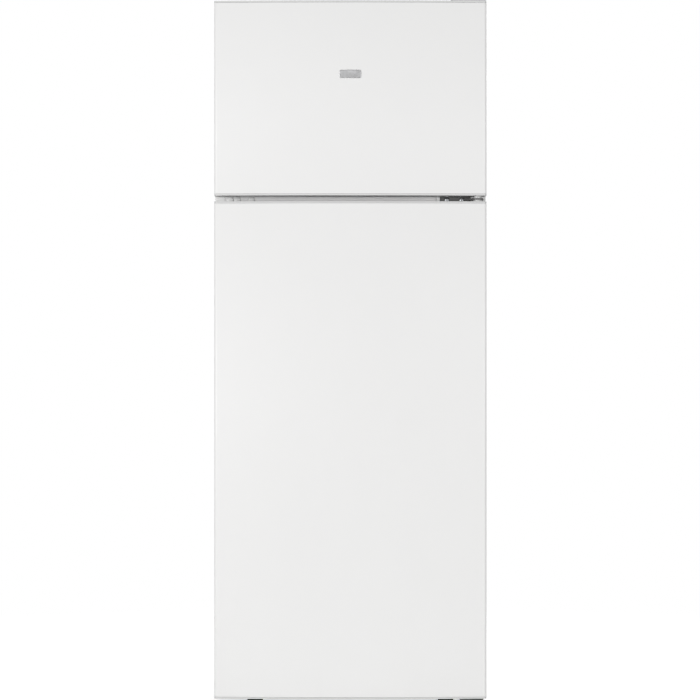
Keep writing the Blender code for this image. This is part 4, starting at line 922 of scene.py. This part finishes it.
def shelf(node):
    low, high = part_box(node)
    bm = bmesh.new()
    rows = []
    for amount, level in ((0.0006, low.z), (0.0, low.z + 0.0006), (0.0, high.z - 0.0006), (0.0006, high.z)):
        rows.append(row((low.x, low.y), (high.x, high.y), amount, 0.012, level))
    loft(bm, rows, "Z", steps=6)
    piece(node + "_pane", bm, "cabinet", SHELF_GLASS, [node])
    bm = bmesh.new()
    top = high.z + TRIM_HEIGHT
    foot = (low.x + 0.0005, low.y - 0.0025, low.z - 0.0040)
    block(bm, foot, (high.x - 0.0005, low.y + 0.012, top), 0.0018, 3)
    rod(bm, (low.x + 0.001, low.y - 0.0005, top), "X", 0.0022, high.x - low.x - 0.002, 16, 0.0006)
    foot = (low.x + 0.012, high.y - 0.012, low.z - 0.0020)
    block(bm, foot, (high.x - 0.012, high.y + 0.001, high.z + 0.009), 0.0016, 3)
    piece(node + "_trim", bm, "cabinet", TRIM_PLASTIC)


for node in ("glass_shelf_lower", "glass_shelf_upper", "crisper_lid", "freezer_shelf"):
    shelf(node)

# %% [markdown]
# ## Lamp box and dial
# The box under the ceiling holds the lamp and the thermostat. It is a thin moulding, open above, with slots
# that let the lamp's heat out, and a window of prisms that spread the light. The dial has a scalloped grip, a
# pointer bar and a ring of plain numbers, because a setting has to be readable.

# %% Lamp box
low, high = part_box("lamp_housing")
plan = (low.x, low.y), (high.x, high.y)
rows = [row(*plan, inward, 0.006, low.z + along) for inward, along in reversed(quarter(0.005, 4))]
rim = ((0.0, 0.006, high.z), (0.002, 0.004, high.z), (0.002, 0.004, low.z + 0.002))
rows += [row(*plan, *level) for level in rim]
bm = bmesh.new()
loft(bm, rows, "Z", steps=4)
slots = bmesh.new()
for number in range(9):
    x = low.x + 0.030 + number * 0.0175
    block(slots, (x - 0.003, low.y + 0.028, low.z - 0.002), (x + 0.003, high.y - 0.012, low.z + 0.0045), 0.0)
for number in range(7):
    y = low.y + 0.022 + number * 0.010
    block(slots, (high.x - 0.004, y - 0.002, low.z + 0.012), (high.x + 0.002, y + 0.002, high.z - 0.008), 0.0)
window_low, window_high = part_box("lamp_cover")
near = (window_low.x + 0.002, low.y - 0.002, window_low.z + 0.002)
block(slots, near, (window_high.x - 0.002, low.y + 0.0045, window_high.z - 0.002))
piece("lamp_box", carved(bm, slots), "cabinet", TRIM_PLASTIC, ["lamp_housing"])

bm = bmesh.new()
block(bm, window_low + Vector((0, 0.0012, 0)), window_high, 0.0008, 2)
PRISMS = 24
for number in range(PRISMS):
    x = window_low.x + 0.004 + (window_high.x - window_low.x - 0.008) * number / (PRISMS - 1)
    foot = (x, window_low.y + 0.0012, window_low.z + 0.002)
    rod(bm, foot, "Z", 0.0015, window_high.z - window_low.z - 0.004, 8)
piece("lamp_window", bm, "cabinet", FROSTED, ["lamp_cover"])

# %% Dial
low, high, middle = box_of("thermostat_knob")
DIAL_X, DIAL_Z = middle.x, middle.z
DIAL_BACK = window_high.y
bm = bmesh.new()
turned(
    bm,
    [(0, 0.0135), (0.0098, 0.0135), (0.0106, 0.0128), (0.0112, 0.0050), (0.0128, 0.0042), (0.0134, 0.0034),
     (0.0134, 0.0006), (0.0130, 0.0), (0.003, 0.0), (0.003, -0.006), (0, -0.006)],
    (DIAL_X, DIAL_BACK, DIAL_Z), "-Y", 64,
)
near, far = (DIAL_X - 0.0024, low.y, DIAL_Z - 0.0105), (DIAL_X + 0.0024, DIAL_BACK - 0.010, DIAL_Z + 0.0105)
block(bm, near, far, 0.0014, 3)
SCALLOPS = 20
for number in range(SCALLOPS):
    turn = math.tau * number / SCALLOPS
    place = (DIAL_X + 0.0110 * math.cos(turn), DIAL_BACK - 0.0052, DIAL_Z + 0.0110 * math.sin(turn))
    rod(bm, place, "-Y", 0.0008, 0.0072, 8)
piece("thermostat_dial_knob", bm, "thermostat_dial", TRIM_PLASTIC, ["thermostat_knob"])

# %% Numbers round the dial


def flat_text(text, centre, height, depth):
    """Raised figures that face -Y, as a mesh."""
    curve = bpy.data.curves.new("figures", "FONT")
    curve.body = text
    curve.size = height
    curve.extrude = depth
    curve.align_x = "CENTER"
    curve.align_y = "CENTER"
    curve.resolution_u = 3
    holder = bpy.data.objects.new("figures", curve)
    bpy.context.scene.collection.objects.link(holder)
    bpy.context.view_layer.update()
    mesh = holder.evaluated_get(bpy.context.evaluated_depsgraph_get()).to_mesh().copy()
    mesh.transform(Matrix.Translation(centre) @ Matrix.Rotation(math.pi / 2, 4, "X"))
    bpy.data.objects.remove(holder)
    return mesh


bm = bmesh.new()
BOX_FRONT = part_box("lamp_housing")[0].y
for number in range(1, 6):
    turn = math.radians(225 - 67.5 * (number - 1))
    centre = (DIAL_X + 0.0168 * math.cos(turn), BOX_FRONT - 0.0001, DIAL_Z + 0.0150 * math.sin(turn))
    bm.from_mesh(flat_text(str(number), centre, 0.0040, 0.00015))
piece("dial_numbers", bm, "cabinet", GREY_PLASTIC)

# %% [markdown]
# ## Between the doors
# The slot between the doors shows the steel rail, three plugs in the holes that the hinge would use if the
# doors were hung the other way, and the middle hinge with its two screws. Its pin turns in pale nylon bushes.

# %% Plugs and screws
for number in (1, 2, 3):
    node = f"hole_plug_{number}"
    low, high, middle = box_of(node)
    bm = bmesh.new()
    turned(
        bm,
        [(0, 0.0034), (0.0024, 0.0033), (0.0042, 0.0030), (0.0048, 0.0026), (0.0052, 0.0026), (0.0062, 0.0022),
         (0.0069, 0.0012), (0.0070, 0.0), (0.0030, 0.0), (0.0030, -0.005), (0.0024, -0.007), (0, -0.007)],
        (middle.x, low.y + 0.0018, middle.z), "-Y", 48,
    )
    piece(f"rail_plug_{number}", bm, "cabinet", TRIM_PLASTIC, [node])


def cross_head(into, centre, head, depth, axis):
    """A pan-head screw with a cross recess, pointing out along Y or -Y."""
    bm = bmesh.new()
    turned(
        bm,
        [(0, head * 0.50), (head * 0.35, head * 0.485), (head * 0.70, head * 0.40), (head * 0.93, head * 0.22),
         (head, head * 0.06), (head * 0.98, 0.0), (head * 0.48, 0.0), (head * 0.48, -depth), (0, -depth)],
        centre, axis, 32,
    )
    x, y, z = centre
    outward = 1 if axis == "Y" else -1
    front, back = sorted((y + outward * head * 0.16, y + outward * head))
    long, thin = head * 0.52, head * 0.13
    for wide, tall in ((long, thin), (thin, long)):
        slot = bmesh.new()
        block(slot, (x - wide, front, z - tall), (x + wide, back, z + tall))
        bm = carved(bm, slot)
    mesh = bpy.data.meshes.new("screw")
    bm.to_mesh(mesh)
    bm.free()
    into.from_mesh(mesh)
    bpy.data.meshes.remove(mesh)


for number in (1, 2):
    node = f"middle_hinge_screw_{number}"
    low, high, middle = box_of(node)
    bm = bmesh.new()
    cross_head(bm, (middle.x, low.y + 0.0025, middle.z), 0.0050, 0.010, "-Y")
    piece(f"hinge_screw_{number}", bm, "cabinet", ZINC, [node])

# %% Middle hinge's bush and washers
low, high, middle = box_of("middle_hinge")
PIN_X, PIN_Y = 0.257, low.y + 0.012
SLOT = middle.z
bm = bmesh.new()
for level, axis in ((SLOT + 0.0016, "Z"), (SLOT - 0.0016, "-Z")):
    turned(
        bm,
        [(0.0036, 0.0), (0.0088, 0.0), (0.0092, 0.0004), (0.0092, 0.0012), (0.0086, 0.0016), (0.0070, 0.0017),
         (0.0068, 0.0040), (0.0036, 0.0040)],
        (PIN_X, PIN_Y, level), axis, 40, closed=True,
    )
piece("hinge_bushes", bm, "cabinet", TRIM_PLASTIC)
bm = bmesh.new()
near = (low.x - 0.0072, low.y + 0.0405, SLOT - 0.0125)
block(bm, near, (low.x - 0.0006, high.y - 0.0002, SLOT + 0.0125), 0.0010, 3)
piece("hinge_end_strip", bm, "cabinet", TRIM_PLASTIC)

# %% [markdown]
# ## The back
# The back sheet is stiffened by long pressed beads and held by screws round its edge. Two caps close the holes
# through which the foam was blown.

# %% Back panel
BEADS = 5
BEAD_PITCH = 0.095
BEAD_HALF = 0.014
BEAD_FOOT, BEAD_TOP = 0.330, 1.330
BEAD_RISE = 0.0048
low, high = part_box("back_panel")
bm = bmesh.new()
flat_low, flat_high = (low.x, low.z), (high.x, high.z)
loft(bm, [(flat_low, flat_high, 0.001, low.y), (flat_low, flat_high, 0.001, high.y)], "Y", steps=2)
for number in range(BEADS):
    x = BEAD_PITCH * (number - (BEADS - 1) / 2)
    rows = []
    for step in range(6):
        turn = math.pi / 2 * step / 5
        amount = 0.008 * (1 - math.cos(turn))
        level = high.y - 0.0004 + BEAD_RISE * math.sin(turn)
        rows.append(row((x - BEAD_HALF, BEAD_FOOT), (x + BEAD_HALF, BEAD_TOP), amount, 0.0139 - amount, level))
    loft(bm, rows, "Y", steps=6)
for x in (-0.100, 0.100):
    cap = [(0, 0.0022), (0.010, 0.0020), (0.0125, 0.0012), (0.013, -0.0004), (0, -0.0004)]
    turned(bm, cap, (x, high.y, 0.270), "Y", 32)
piece("pressed_back", bm, "cabinet", GALVANISED, ["back_panel"])
screws = [(x, z) for z in (0.250, 0.540, 0.830, 1.120, 1.402) for x in (-0.262, 0.262)]
screws += [(x, z) for x in (-0.131, 0.0, 0.131) for z in (1.410, 0.244)]
bm = bmesh.new()
for x, z in screws:
    cross_head(bm, (x, high.y, z), 0.0040, 0.006, "Y")
piece("back_screws", bm, "cabinet", ZINC)

# %% [markdown]
# ## The machinery
# The compressor is two drawn steel halves welded round the middle, on two foot plates with rubber mounts. A
# plastic cover hides its relay, and stubs of copper are brazed in. The pan on top catches melt water, which
# the warm housing dries off.

# %% Compressor
low, high, MIDDLE = box_of("compressor")
FOOT, TOP = low.z, high.z
SEAM = FOOT + 0.078
POT_HALF = 0.0645
plan = (MIDDLE.x - POT_HALF, MIDDLE.y - POT_HALF), (MIDDLE.x + POT_HALF, MIDDLE.y + POT_HALF)
rows = []
for inward, along in reversed(quarter(0.026, 7)):
    rows.append(row(*plan, inward + 0.0012, 0.046 - inward * 0.6, FOOT + 0.006 + along))
for inward, corner, up in (
    (0.0010, 0.046, -0.0024), (-0.0012, 0.048, -0.0016), (-0.0014, 0.048, 0.0010), (-0.0002, 0.047, 0.0022),
    (0.0018, 0.045, 0.0026),
):
    rows.append(row(*plan, inward, corner, SEAM + up))
for inward, along in quarter(0.032, 8):
    rows.append(row(*plan, 0.0020 + inward, 0.045 - inward * 0.5, TOP - 0.0006 - along))
bm = bmesh.new()
loft(bm, rows, "Z", steps=10)
for y in (low.y, high.y - 0.030):
    block(bm, (low.x, y, FOOT), (high.x, y + 0.030, FOOT + 0.0030), 0.0012, 2)
for y in (low.y + 0.030, high.y - 0.030):
    block(bm, (MIDDLE.x - 0.040, y - 0.006, FOOT), (MIDDLE.x + 0.040, y + 0.006, FOOT + 0.016), 0.0015, 2)
piece("compressor_pot", bm, "cabinet", BLACK_ENAMEL, ["compressor"])

MOUNTS = [(x, y) for x in (low.x + 0.012, high.x - 0.012) for y in (low.y + 0.014, high.y - 0.014)]
bm = bmesh.new()
for x, y in MOUNTS:
    turned(
        bm,
        [(0.0032, 0.0), (0.0085, 0.0), (0.0090, 0.0012), (0.0078, 0.0026), (0.0078, 0.0040), (0.0092, 0.0052),
         (0.0090, 0.0072), (0.0080, 0.0080), (0.0032, 0.0080)],
        (x, y, FOOT + 0.0012), "Z", 28, closed=True,
    )
piece("compressor_mounts", bm, "cabinet", BLACK_PLASTIC)
bm = bmesh.new()
for x, y in MOUNTS:
    rod(bm, (x, y, FOOT + 0.0008), "Z", 0.0030, 0.0150, 20, 0.0006)
    rod(bm, (x, y, FOOT + 0.0093), "Z", 0.0062, 0.0028, 6, 0.0004)
piece("compressor_studs", bm, "cabinet", ZINC)

bm = bmesh.new()
cover_low = (MIDDLE.x + 0.060, MIDDLE.y - 0.024, FOOT + 0.040)
cover_high = (MIDDLE.x + 0.0735, MIDDLE.y + 0.024, FOOT + 0.098)
block(bm, cover_low, cover_high, 0.004, 4)
for up in (0.052, 0.062, 0.072, 0.082):
    near = (MIDDLE.x + 0.070, MIDDLE.y - 0.016, FOOT + up - 0.0015)
    block(bm, near, (MIDDLE.x + 0.0747, MIDDLE.y + 0.016, FOOT + up + 0.0015), 0.001, 2)
piece("relay_cover", bm, "cabinet", BLACK_PLASTIC)

# %% Copper stubs, brazed joints and the capillary


def copper_pipe(name, points, radius, sides):
    """A round tube along a smooth curve, as a mesh."""
    curve = bpy.data.curves.new(name, "CURVE")
    curve.dimensions = "3D"
    curve.bevel_depth = radius
    curve.bevel_resolution = sides
    curve.use_fill_caps = True
    curve.resolution_u = 6
    spline = curve.splines.new("NURBS")
    spline.points.add(len(points) - 1)
    for point, place in zip(spline.points, points):
        point.co = (*place, 1)
    spline.order_u = 4
    spline.use_endpoint_u = True
    holder = bpy.data.objects.new(name + "_path", curve)
    bpy.context.scene.collection.objects.link(holder)
    bpy.context.view_layer.update()
    bm = bmesh.new()
    bm.from_mesh(holder.evaluated_get(bpy.context.evaluated_depsgraph_get()).to_mesh())
    bpy.data.objects.remove(holder)
    bmesh.ops.remove_doubles(bm, verts=bm.verts, dist=0.000001)
    bmesh.ops.recalc_face_normals(bm, faces=bm.faces)
    piece(name, bm, "cabinet", COPPER)


STUB_JOINT = (
    (0.0040, 0.0), (0.0056, 0.0005), (0.0060, 0.0020), (0.0054, 0.0080), (0.0046, 0.0100), (0.0040, 0.0102)
)
PIPE_JOINT = ((0.0040, 0.0), (0.0050, 0.0004), (0.0052, 0.0060), (0.0048, 0.0070), (0.0040, 0.0072))
COLLAR = ((0.0040, 0.0), (0.0105, 0.0), (0.0110, 0.0006), (0.0096, 0.0020), (0.0060, 0.0026), (0.0040, 0.0026))
bm = bmesh.new()
for node in ("suction_tube", "discharge_tube"):
    low, high, middle = box_of(node)
    turned(bm, STUB_JOINT, (high.x - 0.0115, MIDDLE.y, middle.z), "X", 24, closed=True)
    turned(bm, PIPE_JOINT, (low.x + 0.0040, low.y + 0.012, middle.z), "Y", 24, closed=True)
    turned(bm, COLLAR, (low.x + 0.0040, low.y, middle.z), "Y", 32, closed=True)
piece("brazed_joints", bm, "cabinet", COPPER)

drier_low, drier_high, DRIER = box_of("filter_drier")


def from_drier(end, out, along, up):
    """A point from one end of the drier: out from that end, then along Y and up."""
    x = drier_low.x - out if end == "low" else drier_high.x + out
    return x, DRIER.y + along, DRIER.z + up


COIL_X = -0.175
COIL_TURNS, COIL_STEPS = 3, 48
NICHE_FACE = 0.1100
points = [from_drier("low", *step) for step in ((-0.002, 0, 0), (0.012, 0, 0), (0.026, 0.002, 0.004))]
for step in range(COIL_STEPS + 1):
    turn = math.tau * COIL_TURNS * step / COIL_STEPS
    x, z = COIL_X - 0.016 * math.cos(turn), DRIER.z + 0.028 + 0.016 * math.sin(turn)
    points.append((x, DRIER.y + 0.010 + 0.0004 * step, z))
points += [(COIL_X - 0.017, DRIER.y + 0.034, z) for z in (DRIER.z + 0.060, 0.2310)]
copper_pipe("capillary", points, 0.0011, 2)
steps = ((-0.002, 0, 0), (0.010, 0, 0), (0.022, -0.002, 0.010), (0.022, -0.010, 0.040))
points = [from_drier("high", *step) for step in steps] + [(drier_high.x + 0.022, NICHE_FACE, DRIER.z + 0.060)]
copper_pipe("drier_inlet", points, 0.0032, 3)

# %% Pan
low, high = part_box("evaporating_pan")
bm = open_box(low, high, 0.0022, 0.010, 0.0034, foot=0.0006)
piece("melt_pan", bm, "cabinet", BLACK_PLASTIC, ["evaporating_pan"])

# %% [markdown]
# ## Feet, rollers and roof
# The front stands on two screwed feet with grips round their rims, which a hand can turn. The back stands on
# two rollers. On the roof a moulded cap covers the upper hinge, held by one screw.

# %% Feet
for side in ("left", "right"):
    middle = box_of(f"levelling_foot_{side}")[2]
    bm = bmesh.new()
    profile = [(0, 0.0), (0.0120, 0.0), (0.0146, 0.0006), (0.0153, 0.0016), (0.0153, 0.0068), (0.0146, 0.0078),
               (0.0080, 0.0084), (0.0060, 0.0100)]
    thread = 0.0102
    while thread < 0.0395:
        profile += [(0.0040, thread + 0.0004), (0.0034, thread + 0.0010)]
        thread += 0.0013
    profile += [(0.0030, 0.0420), (0, 0.0420)]
    turned(bm, profile, (middle.x, middle.y, 0), "Z", 48)
    for number in range(24):
        turn = math.tau * number / 24
        rib = (middle.x + 0.0152 * math.cos(turn), middle.y + 0.0152 * math.sin(turn), 0.0018)
        rod(bm, rib, "Z", 0.0008, 0.0048, 8)
    piece(f"foot_{side}_turned", bm, f"foot_{side}", BLACK_PLASTIC, [f"levelling_foot_{side}"])

# %% Rollers
for side in ("left", "right"):
    low, high, middle = box_of(f"rear_roller_{side}")
    width = high.x - low.x
    bm = bmesh.new()
    turned(
        bm,
        [(0.0034, 0.0), (0.0062, 0.0), (0.0062, 0.0022), (0.0104, 0.0022), (0.0108, 0.0004), (0.0128, 0.0004),
         (0.0137, 0.0014), (0.0140, 0.0040), (0.0140, width - 0.0040), (0.0137, width - 0.0014),
         (0.0128, width - 0.0004), (0.0108, width - 0.0004), (0.0104, width - 0.0022), (0.0062, width - 0.0022),
         (0.0062, width), (0.0034, width)],
        (low.x, middle.y, middle.z), "X", 64, closed=True,
    )
    for number in range(6):
        turn = math.tau * number / 6
        rib = (low.x + 0.0012, middle.y + 0.0083 * math.cos(turn), 0.014 + 0.0083 * math.sin(turn))
        rod(bm, rib, "X", 0.0012, width - 0.0024, 10)
    piece(f"roller_{side}_wheel", bm, f"roller_{side}", BLACK_PLASTIC, [f"rear_roller_{side}"])

# %% Roof and small fittings
low, high, middle = box_of("top_hinge_cover")
bm = bmesh.new()
place = (middle.x, high.y - 0.016, high.z - 0.0002)
turned(bm, [(0, 0.0008), (0.0040, 0.0007), (0.0052, 0.0), (0.0052, -0.002), (0, -0.002)], place, "Z", 32)
piece("hinge_cover_cap", bm, "cabinet", SHADE_GREY_CAP_PLASTIC)

middle = box_of("light_switch_plunger")[2]
bm = bmesh.new()
place = (middle.x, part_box("cabinet_shell")[0].y - 0.0001, middle.z)
turned(
    bm,
    [(0.0040, -0.004), (0.0040, 0.0010), (0.0046, 0.0016), (0.0062, 0.0012), (0.0068, 0.0), (0.0060, -0.0004),
     (0.0050, -0.004)],
    place, "-Y", 40, closed=True,
)
piece("switch_bezel", bm, "cabinet", GREY_PLASTIC)

middle = box_of("drain_tube")[2]
bm = bmesh.new()
place = (middle.x, middle.y, STEP_TOP + 0.0001)
turned(
    bm,
    [(0.0065, -0.004), (0.0065, 0.0006), (0.0080, 0.0014), (0.0135, 0.0010), (0.0150, 0.0), (0.0140, -0.0006),
     (0.0080, -0.0010), (0.0080, -0.004)],
    place, "Z", 40, closed=True,
)
piece("drain_dish", bm, "cabinet", GREY_PLASTIC)

# %% [markdown]
# ## The floor
# A pale round floor takes the object's soft shadow. Its edge fades out, so it has no horizon.

# %% Floor
FLOOR_REACH = 1.9
FLOOR_SOLID = 1.0
FLOOR_GLOW = 0.64


def make_floor():
    bm = bmesh.new()
    bmesh.ops.create_circle(bm, cap_ends=True, segments=96, radius=FLOOR_REACH)
    mesh = bpy.data.meshes.new("floor")
    bm.to_mesh(mesh)
    bm.free()
    finish = Finish("floor_paint", 0.6)
    where = finish.place()
    mottle = finish.noise(where, 2.0, 4.0)
    finish.feed("Base Color", finish.blend(mottle, (0.77, 0.77, 0.765, 1), (0.79, 0.79, 0.785, 1)))
    from_middle = finish.node("ShaderNodeVectorMath", {"operation": "LENGTH"}, {0: where}, "Value")
    finish.feed("Alpha", finish.band(from_middle, FLOOR_SOLID, FLOOR_REACH, 1.0, 0.0))
    seen = finish.node("ShaderNodeLightPath", {}, {}, "Is Camera Ray")
    finish.feed("Emission Color", finish.blend(seen, (0, 0, 0, 1), (1, 1, 1, 1)))
    finish.shader.inputs["Emission Strength"].default_value = FLOOR_GLOW
    mesh.materials.append(finish.material)
    floor = bpy.data.objects.new("floor", mesh)
    bpy.context.scene.collection.objects.link(floor)
    floor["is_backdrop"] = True


make_floor()
